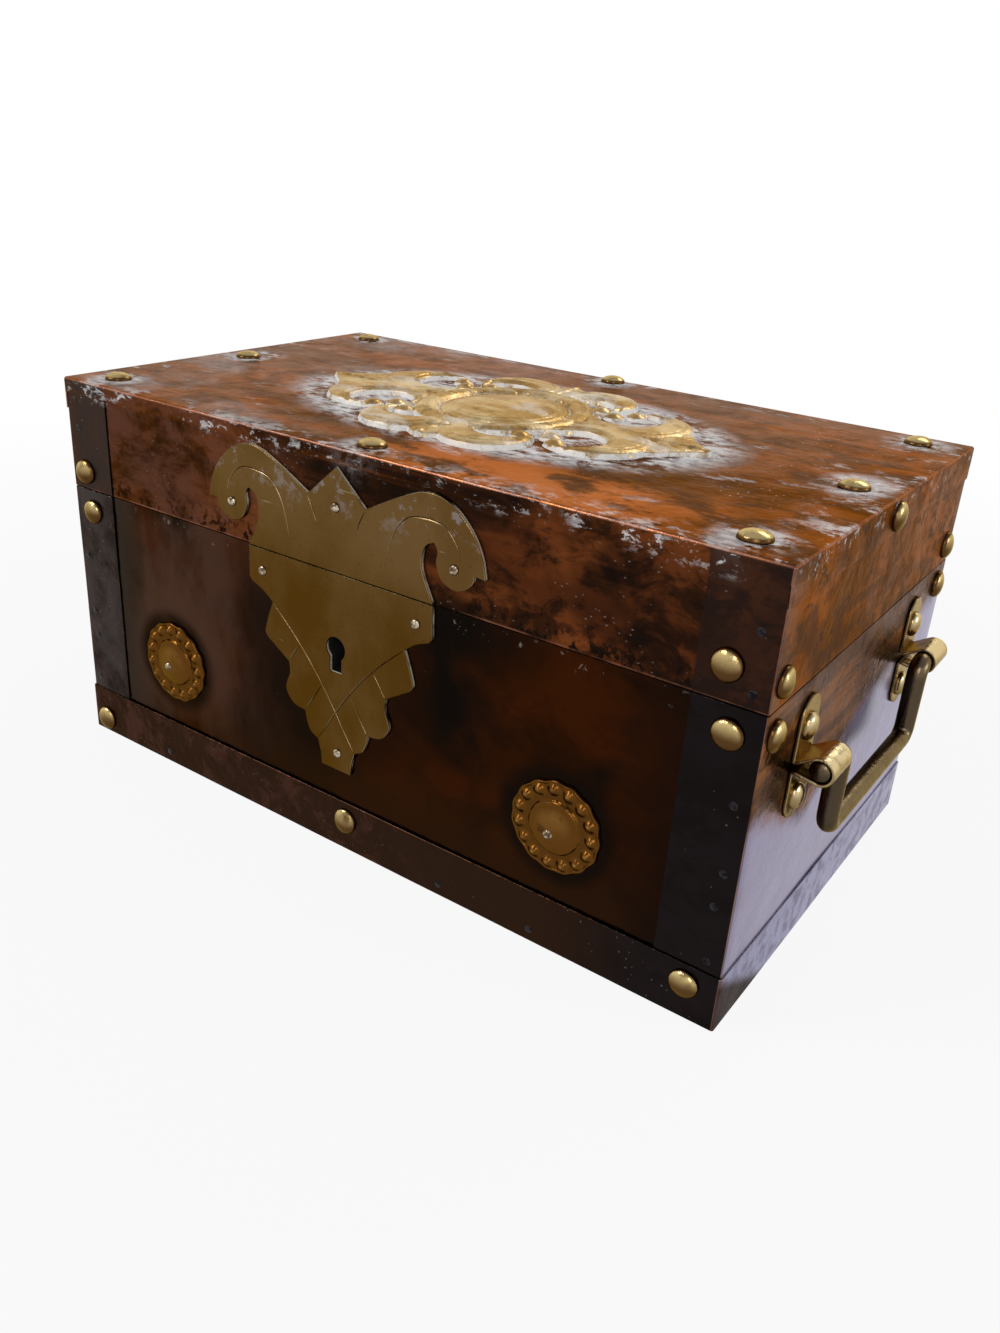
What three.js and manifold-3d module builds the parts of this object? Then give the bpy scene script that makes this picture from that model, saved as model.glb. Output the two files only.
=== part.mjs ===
// A copper-clad wooden keepsake box with brass fittings, in millimetres, +Z up.
// The origin is the middle of the underside. +X runs along the length to the box's right end,
// the front with its lock plates faces -Y, and the lid is hinged along the back.
import * as THREE from 'three';
import { mergeVertices } from 'three/addons/utils/BufferGeometryUtils.js';
import Module from 'manifold-3d';

const wasm = await Module();
wasm.setup();

// Overall sizes, over the outermost copper
const length = 356;
const depth = 206;
const bodyHeight = 130.6;
const lidHeight = 51.9;
const seamGap = 0.5;
const height = bodyHeight + lidHeight;

// Wooden carcass and copper sheets
const boardThickness = 9;
const sheetThickness = 0.6;
const lapWidth = 28;
const bandHeight = 24;
const capEndDrop = 14.5;
const capSideDrop = 6.5;

// Clearances
const mountGap = 0.02;
const runningGap = 0.3;
const overrun = 1;

// Domed studs and their shanks
const studRadius = 6;
const studHeight = 3.3;
const shankRadius = 1.1;
const shankLength = 5.6;
const studSides = 10;
const studRings = 3;
const pinRings = 2;
const holeSides = 5;

// Small round-headed pins of the plates and rosettes
const pinRadius = 2.2;
const pinHeight = 1.5;
const pinShankRadius = 0.8;
const pinSides = 8;

// Lock plates
const plateShift = -8.2;
const plateThickness = 1.5;
const plateBevel = 0.25;
const plateHalfWidth = 49.6;
const plateScrollReach = 73.4;
const plateTopMargin = 7.9;
const plateFootMargin = 15.1;
const engraveDepth = 0.4;
const engraveHalfWidth = 0.45;

// Keyhole
const keyRadius = 5.3;
const keySlotHalfWidth = 3.3;
const keySlotDrop = 11.2;
const keyDrop = 33.4;
const keySides = 14;

// Box lock inside the front
const lockHalfWidth = 34;
const lockHeight = 48;
const lockDepth = 13;
const lockWall = 1.6;
const boltTravel = 7;
const boltWidth = 4;
const boltHeight = 4.4;
const boltLength = 33;
const boltDrop = 9;
const talonWidth = 4;
const talonDrop = 14.5;
const guideLength = 24;
const stapleThickness = 3;
const stapleWidth = 8;
const stapleFoot = 2.3;
const stapleOffset = 6.5;
const linkHalfWidth = 24;
const linkHeight = 19.5;
const linkThickness = 1.6;
const linkLift = 0.5;

// Hinge along the back
const hingeLength = 280;
const hingeLeaf = 1;
const hingeLeafWidth = 10.4;
const hingePinRadius = 1.2;
const knuckleWall = 1.1;
const knuckleCount = 9;
const knuckleSides = 8;
const knuckleEndGap = 0.4;

// Rosettes
const rosetteRadius = 20.3;
const rosetteHeight = 57.3;
const rosetteMargin = 21.9;
const rosetteShift = -4.3;
const rosetteRise = 2.8;
const rosetteSides = 20;
const beadCount = 15;
const beadRadius = 2.5;
const beadSides = 6;

// Cartouche on the lid
const cartoucheShiftX = 2;
const cartoucheShiftY = -4;
const cartoucheReach = 102;
const cartoucheSideMargin = 39;
const cartouchePlate = 1;
const cartoucheRise = 3.4;
const leafPlate = 1.8;
const leafEasing = 1.2;
const leafSteps = 6;
const scrollSides = 14;
const openingSides = 10;
const ringSides = 22;

// Handles: folded straps and a bail on each end
const strapWidth = 17.5;
const strapHeight = 50;
const strapThickness = 1.2;
const strapMargin = 41.7;
const strapLift = 0.3;
const strapStudRadius = 5.4;
const strapUpperStud = 12.2;
const strapLowerStud = 16.5;
const handleDrop = 31.1;
const loopOffset = 10.4;
const loopWall = 1.1;
const loopNeckHalf = 2.2;
const loopNeckDrop = 1.8;
const rodRadius = 4.2;
const rodSides = 10;
const bailDrop = 33.5;
const bailBend = 5.4;
const bailOverhang = 0.8;
const bailBendSteps = 4;
const loopSegments = 8;
const strapEndSegments = 5;
const armGap = 1.3;

// Places worked out from the sizes above
const halfLength = length / 2;
const halfDepth = depth / 2;
const wallX = halfLength - sheetThickness;
const lapY = halfDepth - sheetThickness;
const coreX = wallX - sheetThickness;
const fieldY = lapY - sheetThickness;
const coreY = fieldY - sheetThickness;
const innerX = coreX - boardThickness;
const innerY = coreY - boardThickness;
const lidBottom = bodyHeight + seamGap;
const coreTop = height - sheetThickness;
const lidCeiling = coreTop - boardThickness;
const lapEdgeX = halfLength - lapWidth;
const strapSpread = halfDepth - strapMargin;

// Colours of the finishes
const finishes = {
  pine: { color: 0x8a5a34, roughness: 0.8, metalness: 0 },
  copper: { color: 0x5a2413, roughness: 0.35, metalness: 0.9 },
  darkCopper: { color: 0x2a1512, roughness: 0.35, metalness: 0.9 },
  lidCopper: { color: 0x7d3317, roughness: 0.4, metalness: 0.9 },
  brass: { color: 0xb98a3a, roughness: 0.3, metalness: 1 },
  agedBrass: { color: 0x7a5a24, roughness: 0.4, metalness: 1 },
  bronze: { color: 0x5c4526, roughness: 0.4, metalness: 1 },
  steel: { color: 0x55534f, roughness: 0.5, metalness: 1 },
};

const directions = {
  left: new THREE.Vector3(-1, 0, 0),
  right: new THREE.Vector3(1, 0, 0),
  front: new THREE.Vector3(0, -1, 0),
  back: new THREE.Vector3(0, 1, 0),
  top: new THREE.Vector3(0, 0, 1),
};
const lengthwise = new THREE.Vector3(0, 1, 0);
const mirrors = { acrossX: new THREE.Vector2(-1, 1), acrossY: new THREE.Vector2(1, -1) };

// Solids and booleans
function solidOf(geometry) {
  const bare = geometry.clone();
  bare.deleteAttribute('normal');
  bare.deleteAttribute('uv');
  const welded = mergeVertices(bare);
  const vertProperties = Float32Array.from(welded.attributes.position.array);
  const triVerts = Uint32Array.from(welded.index.array);
  return new wasm.Manifold(new wasm.Mesh({ numProp: 3, vertProperties, triVerts }));
}

function geometryOf(solid) {
  const mesh = solid.getMesh();
  const positions = Float32Array.from(mesh.vertProperties);
  const geometry = new THREE.BufferGeometry();
  geometry.setAttribute('position', new THREE.BufferAttribute(positions, 3));
  geometry.setIndex(new THREE.BufferAttribute(Uint32Array.from(mesh.triVerts), 1));
  geometry.computeVertexNormals();
  return geometry;
}

function united(solids) {
  return solids.reduce((whole, next) => whole.add(next));
}

function cutBy(solid, cutters) {
  return cutters.reduce((rest, cutter) => rest.subtract(cutter), solid);
}

function named(name, solid, finish) {
  const mesh = new THREE.Mesh(geometryOf(solid), new THREE.MeshStandardMaterial(finishes[finish]));
  mesh.name = name;
  return mesh;
}

// A block between two planes on each axis. Its corners take the planes' own values, so blocks
// that share a plane meet face to face.
function block([x0, x1], [y0, y1], [z0, z1]) {
  const geometry = new THREE.BoxGeometry();
  const corners = geometry.attributes.position;
  for (let i = 0; i < corners.count; i += 1) {
    corners.setXYZ(
      i,
      corners.getX(i) < 0 ? x0 : x1,
      corners.getY(i) < 0 ? y0 : y1,
      corners.getZ(i) < 0 ? z0 : z1,
    );
  }
  return solidOf(geometry);
}

function spread(reach) {
  return [-reach, reach];
}

// A round bar between two points.
function bar(from, to, radius, sides) {
  const along = to.clone().sub(from);
  const turn = new THREE.Quaternion().setFromUnitVectors(lengthwise, along.clone().normalize());
  const geometry = new THREE.CylinderGeometry(radius, radius, along.length(), sides);
  geometry.applyQuaternion(turn);
  const middle = from.clone().add(to).multiplyScalar(0.5);
  geometry.translate(middle.x, middle.y, middle.z);
  return solidOf(geometry);
}

// A turned piece whose axis points along a direction. The profile gives radius and height.
function turned(profile, sides, direction) {
  const points = profile.map(([radius, rise]) => new THREE.Vector2(radius, rise));
  const geometry = new THREE.LatheGeometry(points, sides);
  geometry.applyQuaternion(new THREE.Quaternion().setFromUnitVectors(lengthwise, direction));
  return geometry;
}

function moved(geometry, place) {
  return geometry.translate(place.x, place.y, place.z);
}

// Fasteners: each one notes the hole that its shank needs
const shankHoles = [];

function noteHole(place, direction, radius) {
  const mouth = place.clone().addScaledVector(direction, overrun);
  const end = place.clone().addScaledVector(direction, -shankLength - runningGap);
  shankHoles.push(bar(mouth, end, radius + runningGap, holeSides));
}

function drilled(solid) {
  return cutBy(solid, shankHoles);
}

// The half outline of a low dome, from its rim to its crown.
function domeProfile(radius, rise, rings) {
  const profile = [];
  for (let i = 0; i < rings; i += 1) {
    const turn = (Math.PI / 2) * (i / rings);
    profile.push([radius * Math.cos(turn), rise * Math.sin(turn)]);
  }
  profile.push([0, rise]);
  return profile;
}

// A nail with a domed head, whose shank tapers to a point.
function nailProfile(radius, rise, shank, rings) {
  return [[0, -shankLength], [shank, 0], ...domeProfile(radius, rise, rings)];
}

function domedStud(name, place, direction) {
  const profile = nailProfile(studRadius, studHeight, shankRadius, studRings);
  const geometry = turned(profile, studSides, direction);
  const stud = named(name, solidOf(geometry), 'brass');
  stud.position.copy(place).addScaledVector(direction, mountGap);
  noteHole(place, direction, shankRadius);
  return stud;
}

// A round-headed pin that is riveted into the plate which it holds.
function rivetedPin(place, direction) {
  const profile = nailProfile(pinRadius, pinHeight, pinShankRadius, pinRings);
  return solidOf(moved(turned(profile, pinSides, direction), place));
}

// Studs. Near the front's ends each one holds the copper lap of that end: a row gives its name, the
// end, its share across the lap and its share up what it holds.
const upperStudShares = [['left', -1, 0.53, 0.92], ['right', 1, 0.53, 0.92]];
const bandStudShares = [['left', -1, 0.66, 0.31], ['right', 1, 0.5, 0.64]];
const bandMiddleStudShares = [-0.015, 0.61];
const lidFrontStudShares = [['left', -1, 0.64, 0.166], ['right', 1, 0.39, 0.262]];
const endStudShares = [['front', -0.906, 0.922], ['back', 0.906, 0.926]];
const lidEndStudShares = [['front', -0.906, 0.187], ['back', 0.906, 0.173]];
const capEndStudShare = 0.55;
const topStudShares = [
  ['front_left', -0.886, -0.85],
  ['front_mid', 0, -0.885],
  ['front_right', 0.886, -0.85],
  ['side_left', -0.904, -0.035],
  ['side_right', 0.904, -0.035],
  ['back_left', -0.886, 0.85],
  ['back_mid', 0, 0.933],
  ['back_right', 0.886, 0.85],
];

function lapStuds(prefix, shares, seat, bottom, rise) {
  return shares.map(([end, side, across, up]) => {
    const place = new THREE.Vector3(side * (lapEdgeX + across * lapWidth), -seat, bottom + up * rise);
    return domedStud(`${prefix}_${end}`, place, directions.front);
  });
}

function endStuds(side, prefix, shares, bottom, rise) {
  const x = directions[side].x * wallX;
  return shares.map(([end, across, up]) => {
    const place = new THREE.Vector3(x, across * halfDepth, bottom + up * rise);
    return domedStud(`${prefix}_${end}`, place, directions[side]);
  });
}

function bodyStuds() {
  const [along, up] = bandMiddleStudShares;
  const middle = new THREE.Vector3(along * halfLength, -halfDepth, up * bandHeight);
  return [
    ...lapStuds('front_stud_upper', upperStudShares, lapY, 0, bodyHeight),
    ...lapStuds('front_stud_lower', bandStudShares, halfDepth, 0, bandHeight),
    domedStud('front_stud_lower_mid', middle, directions.front),
    ...endStuds('left', 'left_end_stud', endStudShares, 0, bodyHeight),
    ...endStuds('right', 'right_end_stud', endStudShares, 0, bodyHeight),
  ];
}

function lidStuds() {
  const studs = lapStuds('lid_front_stud', lidFrontStudShares, lapY, bodyHeight, lidHeight);
  const capEndHeight = height - capEndStudShare * capEndDrop;
  for (const side of ['left', 'right']) {
    const middle = new THREE.Vector3(directions[side].x * halfLength, 0, capEndHeight);
    studs.push(
      ...endStuds(side, `lid_${side}_end_stud`, lidEndStudShares, bodyHeight, lidHeight),
      domedStud(`lid_${side}_end_stud_mid`, middle, directions[side]),
    );
  }
  for (const [spot, along, across] of topStudShares) {
    const place = new THREE.Vector3(along * halfLength, across * halfDepth, height);
    studs.push(domedStud(`lid_top_stud_${spot}`, place, directions.top));
  }
  return studs;
}

// Lock plates: half outlines as shares of the scroll's reach and the plate's rise or drop
const plateRise = lidHeight - plateTopMargin;
const plateDrop = bodyHeight - bandHeight - plateFootMargin;
const plateSeat = fieldY + mountGap;
const plateCentre = new THREE.Vector3(plateShift, -plateSeat, bodyHeight);

// A smooth stretch through a few points.
function smooth(points, steps) {
  return new THREE.SplineCurve(points).getPoints(steps);
}

// The outline of a piece that is the same on both sides of its upright middle line.
function mirroredShape(half) {
  const other = half.map((point) => point.clone().multiply(mirrors.acrossX)).reverse();
  return new THREE.Shape([...half, ...other]);
}

function sharePoints(shares, across, up) {
  return shares.map(([x, y]) => new THREE.Vector2(x * across, y * up));
}

const hookInnerShares = [[0.602, 0.273], [0.595, 0.425], [0.617, 0.527], [0.67, 0.573]];
const hookCurlShares = [
  [0.692, 0.507], [0.687, 0.389], [0.728, 0.255], [0.824, 0.2], [0.916, 0.295], [0.932, 0.386],
];
const hookTipShare = [1, 0.375];
const hookOuterShares = [
  [0.971, 0.568], [0.905, 0.759], [0.79, 0.932], [0.647, 1], [0.49, 0.932], [0.206, 0.691],
];
const peakShare = [0, 1];
const hookSteps = { inner: 7, curl: 13, outer: 14 };

function upperHalfOutline() {
  const seam = new THREE.Vector2(plateHalfWidth, seamGap);
  const inner = sharePoints(hookInnerShares, plateScrollReach, plateRise);
  const curl = sharePoints(hookCurlShares, plateScrollReach, plateRise);
  const [tip] = sharePoints([hookTipShare], plateScrollReach, plateRise);
  const outer = sharePoints(hookOuterShares, plateScrollReach, plateRise);
  const [peak] = sharePoints([peakShare], plateScrollReach, plateRise);
  return [
    ...smooth([seam, ...inner], hookSteps.inner),
    ...smooth([inner.at(-1), ...curl], hookSteps.curl).slice(1),
    ...smooth([tip, ...outer], hookSteps.outer),
    peak,
  ];
}

const shoulderShares = [[1, 0], [1.008, -0.153], [0.978, -0.176], [0.85, -0.205], [0.735, -0.247]];
const lobeShares = [
  [[0.735, -0.247], [0.806, -0.352], [0.826, -0.421], [0.706, -0.47], [0.552, -0.523]],
  [[0.552, -0.523], [0.544, -0.58], [0.593, -0.667], [0.505, -0.735], [0.363, -0.75]],
  [[0.363, -0.75], [0.343, -0.8], [0.3, -0.847], [0.212, -0.874]],
];
const tipShares = [[0.177, -0.94], [0.167, -1]];
const shoulderSteps = 5;
const lobeSteps = 5;

function lowerHalfOutline() {
  const shoulder = sharePoints(shoulderShares, plateHalfWidth, plateDrop);
  const lobes = lobeShares.map((shares) => {
    const lobe = sharePoints(shares, plateHalfWidth, plateDrop);
    return smooth(lobe, lobeSteps).slice(1);
  });
  return [
    ...shoulder.slice(0, 2),
    ...smooth(shoulder.slice(2), shoulderSteps),
    ...lobes.flat(),
    ...sharePoints(tipShares, plateHalfWidth, plateDrop),
  ];
}

// A flat plate cut from an outline, standing on the plane z = 0, with the rim of its face eased.
function easedPlate(shape, thickness, easing) {
  const geometry = new THREE.ExtrudeGeometry(shape, {
    depth: thickness - easing,
    bevelThickness: easing,
    bevelSize: easing,
    bevelOffset: -easing,
    bevelSegments: 1,
  });
  return solidOf(geometry).subtract(block(spread(length), spread(length), [-easing - overrun, 0]));
}

// A shallow engraved line: a narrow band along a curve, sunk into the plate's face.
function engravedLine(points) {
  const curve = new THREE.SplineCurve(points);
  const steps = 2 * (points.length - 1);
  const left = [];
  const right = [];
  for (let i = 0; i <= steps; i += 1) {
    const centre = curve.getPoint(i / steps);
    const heading = curve.getTangent(i / steps);
    const aside = new THREE.Vector2(-heading.y, heading.x).multiplyScalar(engraveHalfWidth);
    left.push(centre.clone().add(aside));
    right.push(centre.clone().sub(aside));
  }
  const band = new THREE.Shape([...left, ...right.reverse()]);
  const depthOfCut = engraveDepth + overrun;
  const geometry = new THREE.ExtrudeGeometry(band, { depth: depthOfCut, bevelEnabled: false });
  return solidOf(geometry.translate(0, 0, plateThickness - engraveDepth));
}

function engravedPair(shares, across, up) {
  const points = sharePoints(shares, across, up);
  const mirrored = points.map((point) => point.clone().multiply(mirrors.acrossX));
  return [engravedLine(points), engravedLine(mirrored)];
}

const upperLineShares = [
  [[0.35, 0.22], [0.4, 0.53], [0.488, 0.72], [0.62, 0.77], [0.742, 0.738], [0.82, 0.6], [0.84, 0.48]],
  [[0.206, 0.67], [0.172, 0.568], [0.145, 0.45]],
];
const lowerLineShares = [
  [[0.72, -0.255], [0.44, -0.393], [0.2, -0.54], [0, -0.693], [-0.1, -0.78], [-0.2, -0.862]],
  [[0.42, -0.42], [0.49, -0.47], [0.54, -0.515]],
  [[0.17, -0.585], [0.27, -0.67], [0.35, -0.74]],
];

// The plate is drawn flat and stood up against the front, facing -Y.
function stoodUp(solid) {
  const geometry = geometryOf(solid);
  geometry.rotateX(Math.PI / 2);
  return moved(geometry, plateCentre);
}

const upperPinShares = [[-0.804, 0.39], [0.804, 0.39], [0, 0.632]];
const lowerPinShares = [[-0.843, -0.107], [0.843, -0.107], [0.02, -0.907]];

function plateWithPins(flat, pinShares, across, up) {
  const plate = solidOf(stoodUp(flat));
  const pins = sharePoints(pinShares, across, up).map((point) => {
    const face = -plateSeat - plateThickness;
    const place = new THREE.Vector3(plateShift + point.x, face, bodyHeight + point.y);
    noteHole(place, directions.front, pinShankRadius);
    return rivetedPin(place, directions.front);
  });
  return united([plate, ...pins]);
}

// A keyhole: a round opening with a slot below it.
function keyholeShape(easing) {
  const shape = new THREE.Shape();
  const radius = keyRadius + easing;
  const half = keySlotHalfWidth + easing;
  const turn = Math.asin(half / radius);
  shape.absarc(0, 0, radius, turn - Math.PI / 2, 1.5 * Math.PI - turn, false);
  shape.lineTo(-half, -keySlotDrop - easing);
  shape.lineTo(half, -keySlotDrop - easing);
  return shape;
}

// It is cut straight through, from before the plate to behind the board.
function keyholeCutter(easing) {
  const mouth = plateSeat + plateThickness + overrun;
  const end = innerY - overrun;
  const geometry = new THREE.ExtrudeGeometry(keyholeShape(easing), {
    depth: mouth - end,
    bevelEnabled: false,
    curveSegments: keySides,
  });
  geometry.rotateX(Math.PI / 2);
  return solidOf(geometry.translate(plateShift, -end, bodyHeight - keyDrop));
}

function lowerLockPlate() {
  const lines = lowerLineShares.flatMap((line) => engravedPair(line, plateHalfWidth, plateDrop));
  const blank = easedPlate(mirroredShape(lowerHalfOutline()), plateThickness, plateBevel);
  const plate = plateWithPins(cutBy(blank, lines), lowerPinShares, plateHalfWidth, plateDrop);
  return named('lock_plate', plate.subtract(keyholeCutter(0)), 'agedBrass');
}

function upperLockPlate() {
  const lines = upperLineShares.flatMap((line) => engravedPair(line, plateScrollReach, plateRise));
  const blank = easedPlate(mirroredShape(upperHalfOutline()), plateThickness, plateBevel);
  const plate = plateWithPins(cutBy(blank, lines), upperPinShares, plateScrollReach, plateRise);
  return named('lid_lock_plate', plate, 'agedBrass');
}

// Rosettes: a pressed disc with a ring of beads round a raised middle, nailed through its centre
const rosetteProfileShares = [
  [1, 0], [1, 0.3], [0.94, 0.42], [0.9, 0.3],
  [0.68, 0.34], [0.64, 0.8], [0.58, 1], [0.52, 0.8], [0, 0.8],
];
const beadRingShare = 0.795;
const beadRiseShare = 1.2;

function rosette(name, x) {
  const direction = directions.front;
  const face = rosetteProfileShares.map(([out, up]) => [out * rosetteRadius, up * rosetteRise]);
  const parts = [solidOf(turned([[0, 0], ...face], rosetteSides, direction))];
  const beadProfile = [[0, 0], ...domeProfile(beadRadius, beadRiseShare * rosetteRise, pinRings)];
  const start = new THREE.Vector3(beadRingShare * rosetteRadius, 0, 0);
  for (let i = 0; i < beadCount; i += 1) {
    const place = start.clone().applyAxisAngle(direction, (2 * Math.PI * i) / beadCount);
    parts.push(solidOf(moved(turned(beadProfile, beadSides, direction), place)));
  }
  const nail = nailProfile(pinRadius, pinHeight + rosetteRise, pinShankRadius, pinRings);
  parts.push(solidOf(turned(nail, pinSides, direction)));
  const mesh = named(name, united(parts), 'brass');
  mesh.position.set(x, -plateSeat, rosetteHeight);
  noteHole(mesh.position, direction, pinShankRadius);
  return mesh;
}

function rosettes() {
  const reach = lapEdgeX - rosetteRadius - rosetteMargin;
  return [
    rosette('rosette_left', rosetteShift - reach),
    rosette('rosette_right', rosetteShift + reach),
  ];
}

// Cartouche: a domed oval in a raised ring, with eight pierced scrolls and four leaves round it.
// A scroll's sizes are shares of the cartouche's half width, so that it stays on the ring. A leaf's
// points are shares of the reach along the lid and of the half width across it.
const cartoucheHalf = halfDepth - cartoucheSideMargin;
const ovalShares = [0.94, 1.06];
const ringRadiusShare = 0.56;
const ringTubeShare = 0.085;
const bossRadiusShare = 0.46;
const bossRiseShare = 1.25;
const scrollShares = [
  { placeShares: [0.328, 0.69], radiusShare: 0.31, stepShares: [0.03, -0.16], openingShare: 0.185 },
  { placeShares: [0.907, 0.28], radiusShare: 0.37, stepShares: [-0.125, 0.11], openingShare: 0.215 },
];
const eyeShare = 0.075;
const endLeafShares = [[0.3, 0.12], [0.5, 0.12], [0.66, 0.16], [0.78, 0.34], [0.88, 0.17], [1, 0]];
const sideLeafShares = [[0.09, 0.5], [0.1, 0.74], [0.085, 0.9], [0, 1]];

// A low dome on the plane z = 0, round or oval.
function lowDome(place, radius, rise, sides, rings) {
  const geometry = turned([[0, 0], ...domeProfile(radius, rise, rings)], sides, directions.top);
  return moved(geometry, new THREE.Vector3(place.x, place.y, 0));
}

// A scroll: a low dome pierced off its middle, which leaves a crescent, with an eye at each horn.
function scroll(plan, flipX, flipY) {
  const radius = plan.radiusShare * cartoucheHalf;
  const opening = plan.openingShare * cartoucheHalf;
  const scale = new THREE.Vector2(flipX, flipY).multiplyScalar(cartoucheHalf);
  const middle = new THREE.Vector2(...plan.placeShares).multiply(scale);
  const step = new THREE.Vector2(...plan.stepShares).multiply(scale);
  const pierced = middle.clone().add(step);
  const dome = solidOf(lowDome(middle, radius, cartoucheRise, scrollSides, pinRings));
  const hole = bar(
    new THREE.Vector3(pierced.x, pierced.y, -overrun),
    new THREE.Vector3(pierced.x, pierced.y, cartoucheRise + overrun),
    opening,
    openingSides,
  );
  const eyeRadius = eyeShare * cartoucheHalf;
  const towardsHorns = (radius ** 2 - opening ** 2 + step.lengthSq()) / (2 * step.length());
  const hornTurn = Math.acos(towardsHorns / radius);
  const eyes = [-hornTurn, hornTurn].map((turn) => {
    const eye = step.clone().setLength(radius - eyeRadius).add(middle).rotateAround(middle, turn);
    return solidOf(lowDome(eye, eyeRadius, cartoucheRise, beadSides, pinRings));
  });
  return united([dome.subtract(hole), ...eyes]);
}

// A pointed leaf, drawn as half its outline and the same mirrored, and turned half round by flip.
function leaf(shares, mirror, flip) {
  const half = smooth(sharePoints(shares, cartoucheReach, cartoucheHalf), leafSteps);
  const other = half.map((point) => point.clone().multiply(mirror)).reverse();
  const outline = [...half, ...other.slice(1)].map((point) => point.multiplyScalar(flip));
  return easedPlate(new THREE.Shape(outline), leafPlate, leafEasing);
}

function cartouche() {
  const radius = ringRadiusShare * cartoucheHalf;
  const tube = ringTubeShare * cartoucheHalf;
  const rim = domeProfile(tube, cartoucheRise, pinRings);
  const inside = rim.slice(0, -1).reverse().map(([out, up]) => [radius - out, up]);
  const section = [...rim.map(([out, up]) => [radius + out, up]), ...inside, [radius + tube, 0]];
  const disc = [[0, 0], [radius, 0], [radius, cartouchePlate], [0, cartouchePlate]];
  const bossRadius = bossRadiusShare * cartoucheHalf;
  const bossRise = bossRiseShare * cartoucheRise;
  const oval = [
    turned(section, ringSides, directions.top),
    turned(disc, ringSides, directions.top),
    lowDome(new THREE.Vector2(), bossRadius, bossRise, ringSides, studRings),
  ];
  const parts = oval.map((geometry) => solidOf(geometry.scale(...ovalShares, 1)));
  for (const flip of [-1, 1]) {
    parts.push(leaf(endLeafShares, mirrors.acrossY, flip), leaf(sideLeafShares, mirrors.acrossX, flip));
    for (const plan of scrollShares) {
      parts.push(scroll(plan, flip, 1), scroll(plan, flip, -1));
    }
  }
  const mesh = named('cartouche', united(parts), 'agedBrass');
  mesh.position.set(cartoucheShiftX, cartoucheShiftY, height + mountGap);
  return mesh;
}

// Handles. Each is drawn for the right end, with its origin on the bail's axis at the wall's
// face, +X pointing out of the wall.
const pivotHeight = bodyHeight - handleDrop;
const loopOuter = rodRadius + runningGap + loopWall;
const armReach = strapSpread - strapWidth / 2 - armGap - rodRadius;
const rodReach = strapSpread + strapWidth / 2 + bailOverhang;

// A drop shape in the plane across the bail's axis: two legs from the wall, touching a round loop.
function dropShape(neckHalf, radius, foot) {
  const shape = new THREE.Shape();
  const turnOn = (rise) => {
    const away = new THREE.Vector2(foot - loopOffset, rise);
    const far = away.length();
    return Math.atan2(away.y, away.x) - Math.sign(rise + loopNeckDrop) * Math.acos(radius / far);
  };
  const upper = turnOn(neckHalf - loopNeckDrop);
  const lower = turnOn(-neckHalf - loopNeckDrop);
  shape.moveTo(foot, -neckHalf - loopNeckDrop);
  shape.absarc(loopOffset, 0, radius, lower, upper, false);
  shape.lineTo(foot, neckHalf - loopNeckDrop);
  return shape;
}

function acrossWall(shape, width) {
  const geometry = new THREE.ExtrudeGeometry(shape, {
    depth: width,
    bevelEnabled: false,
    curveSegments: loopSegments,
  });
  geometry.rotateX(Math.PI / 2);
  return solidOf(geometry.translate(0, width / 2, 0));
}

// A strap: a strip with rounded ends, folded out from the wall into a loop, and its two rivets.
function strap(name, y) {
  const half = strapWidth / 2;
  const middle = strapLift - loopNeckDrop / 2;
  const outline = new THREE.Shape();
  outline.absarc(0, middle + strapHeight / 2 - half, half, 0, Math.PI, false);
  outline.absarc(0, middle - strapHeight / 2 + half, half, Math.PI, 2 * Math.PI, false);
  const flat = new THREE.ExtrudeGeometry(outline, {
    depth: strapThickness,
    bevelEnabled: false,
    curveSegments: strapEndSegments,
  });
  flat.rotateX(Math.PI / 2);
  flat.rotateZ(Math.PI / 2);
  const folded = acrossWall(dropShape(loopNeckHalf, loopOuter, strapThickness / 2), strapWidth);
  const bore = acrossWall(
    dropShape(loopNeckHalf - loopWall, loopOuter - loopWall, strapThickness),
    strapWidth + 2 * overrun,
  );
  const rivets = [strapUpperStud, -strapLowerStud].map((rise) => {
    const geometry = turned(
      nailProfile(strapStudRadius, studHeight, shankRadius, studRings), studSides, directions.right);
    return solidOf(geometry.translate(strapThickness, 0, rise));
  });
  const mesh = named(name, united([solidOf(flat), folded, ...rivets]).subtract(bore), 'brass');
  mesh.position.set(mountGap, y, 0);
  return mesh;
}

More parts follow.
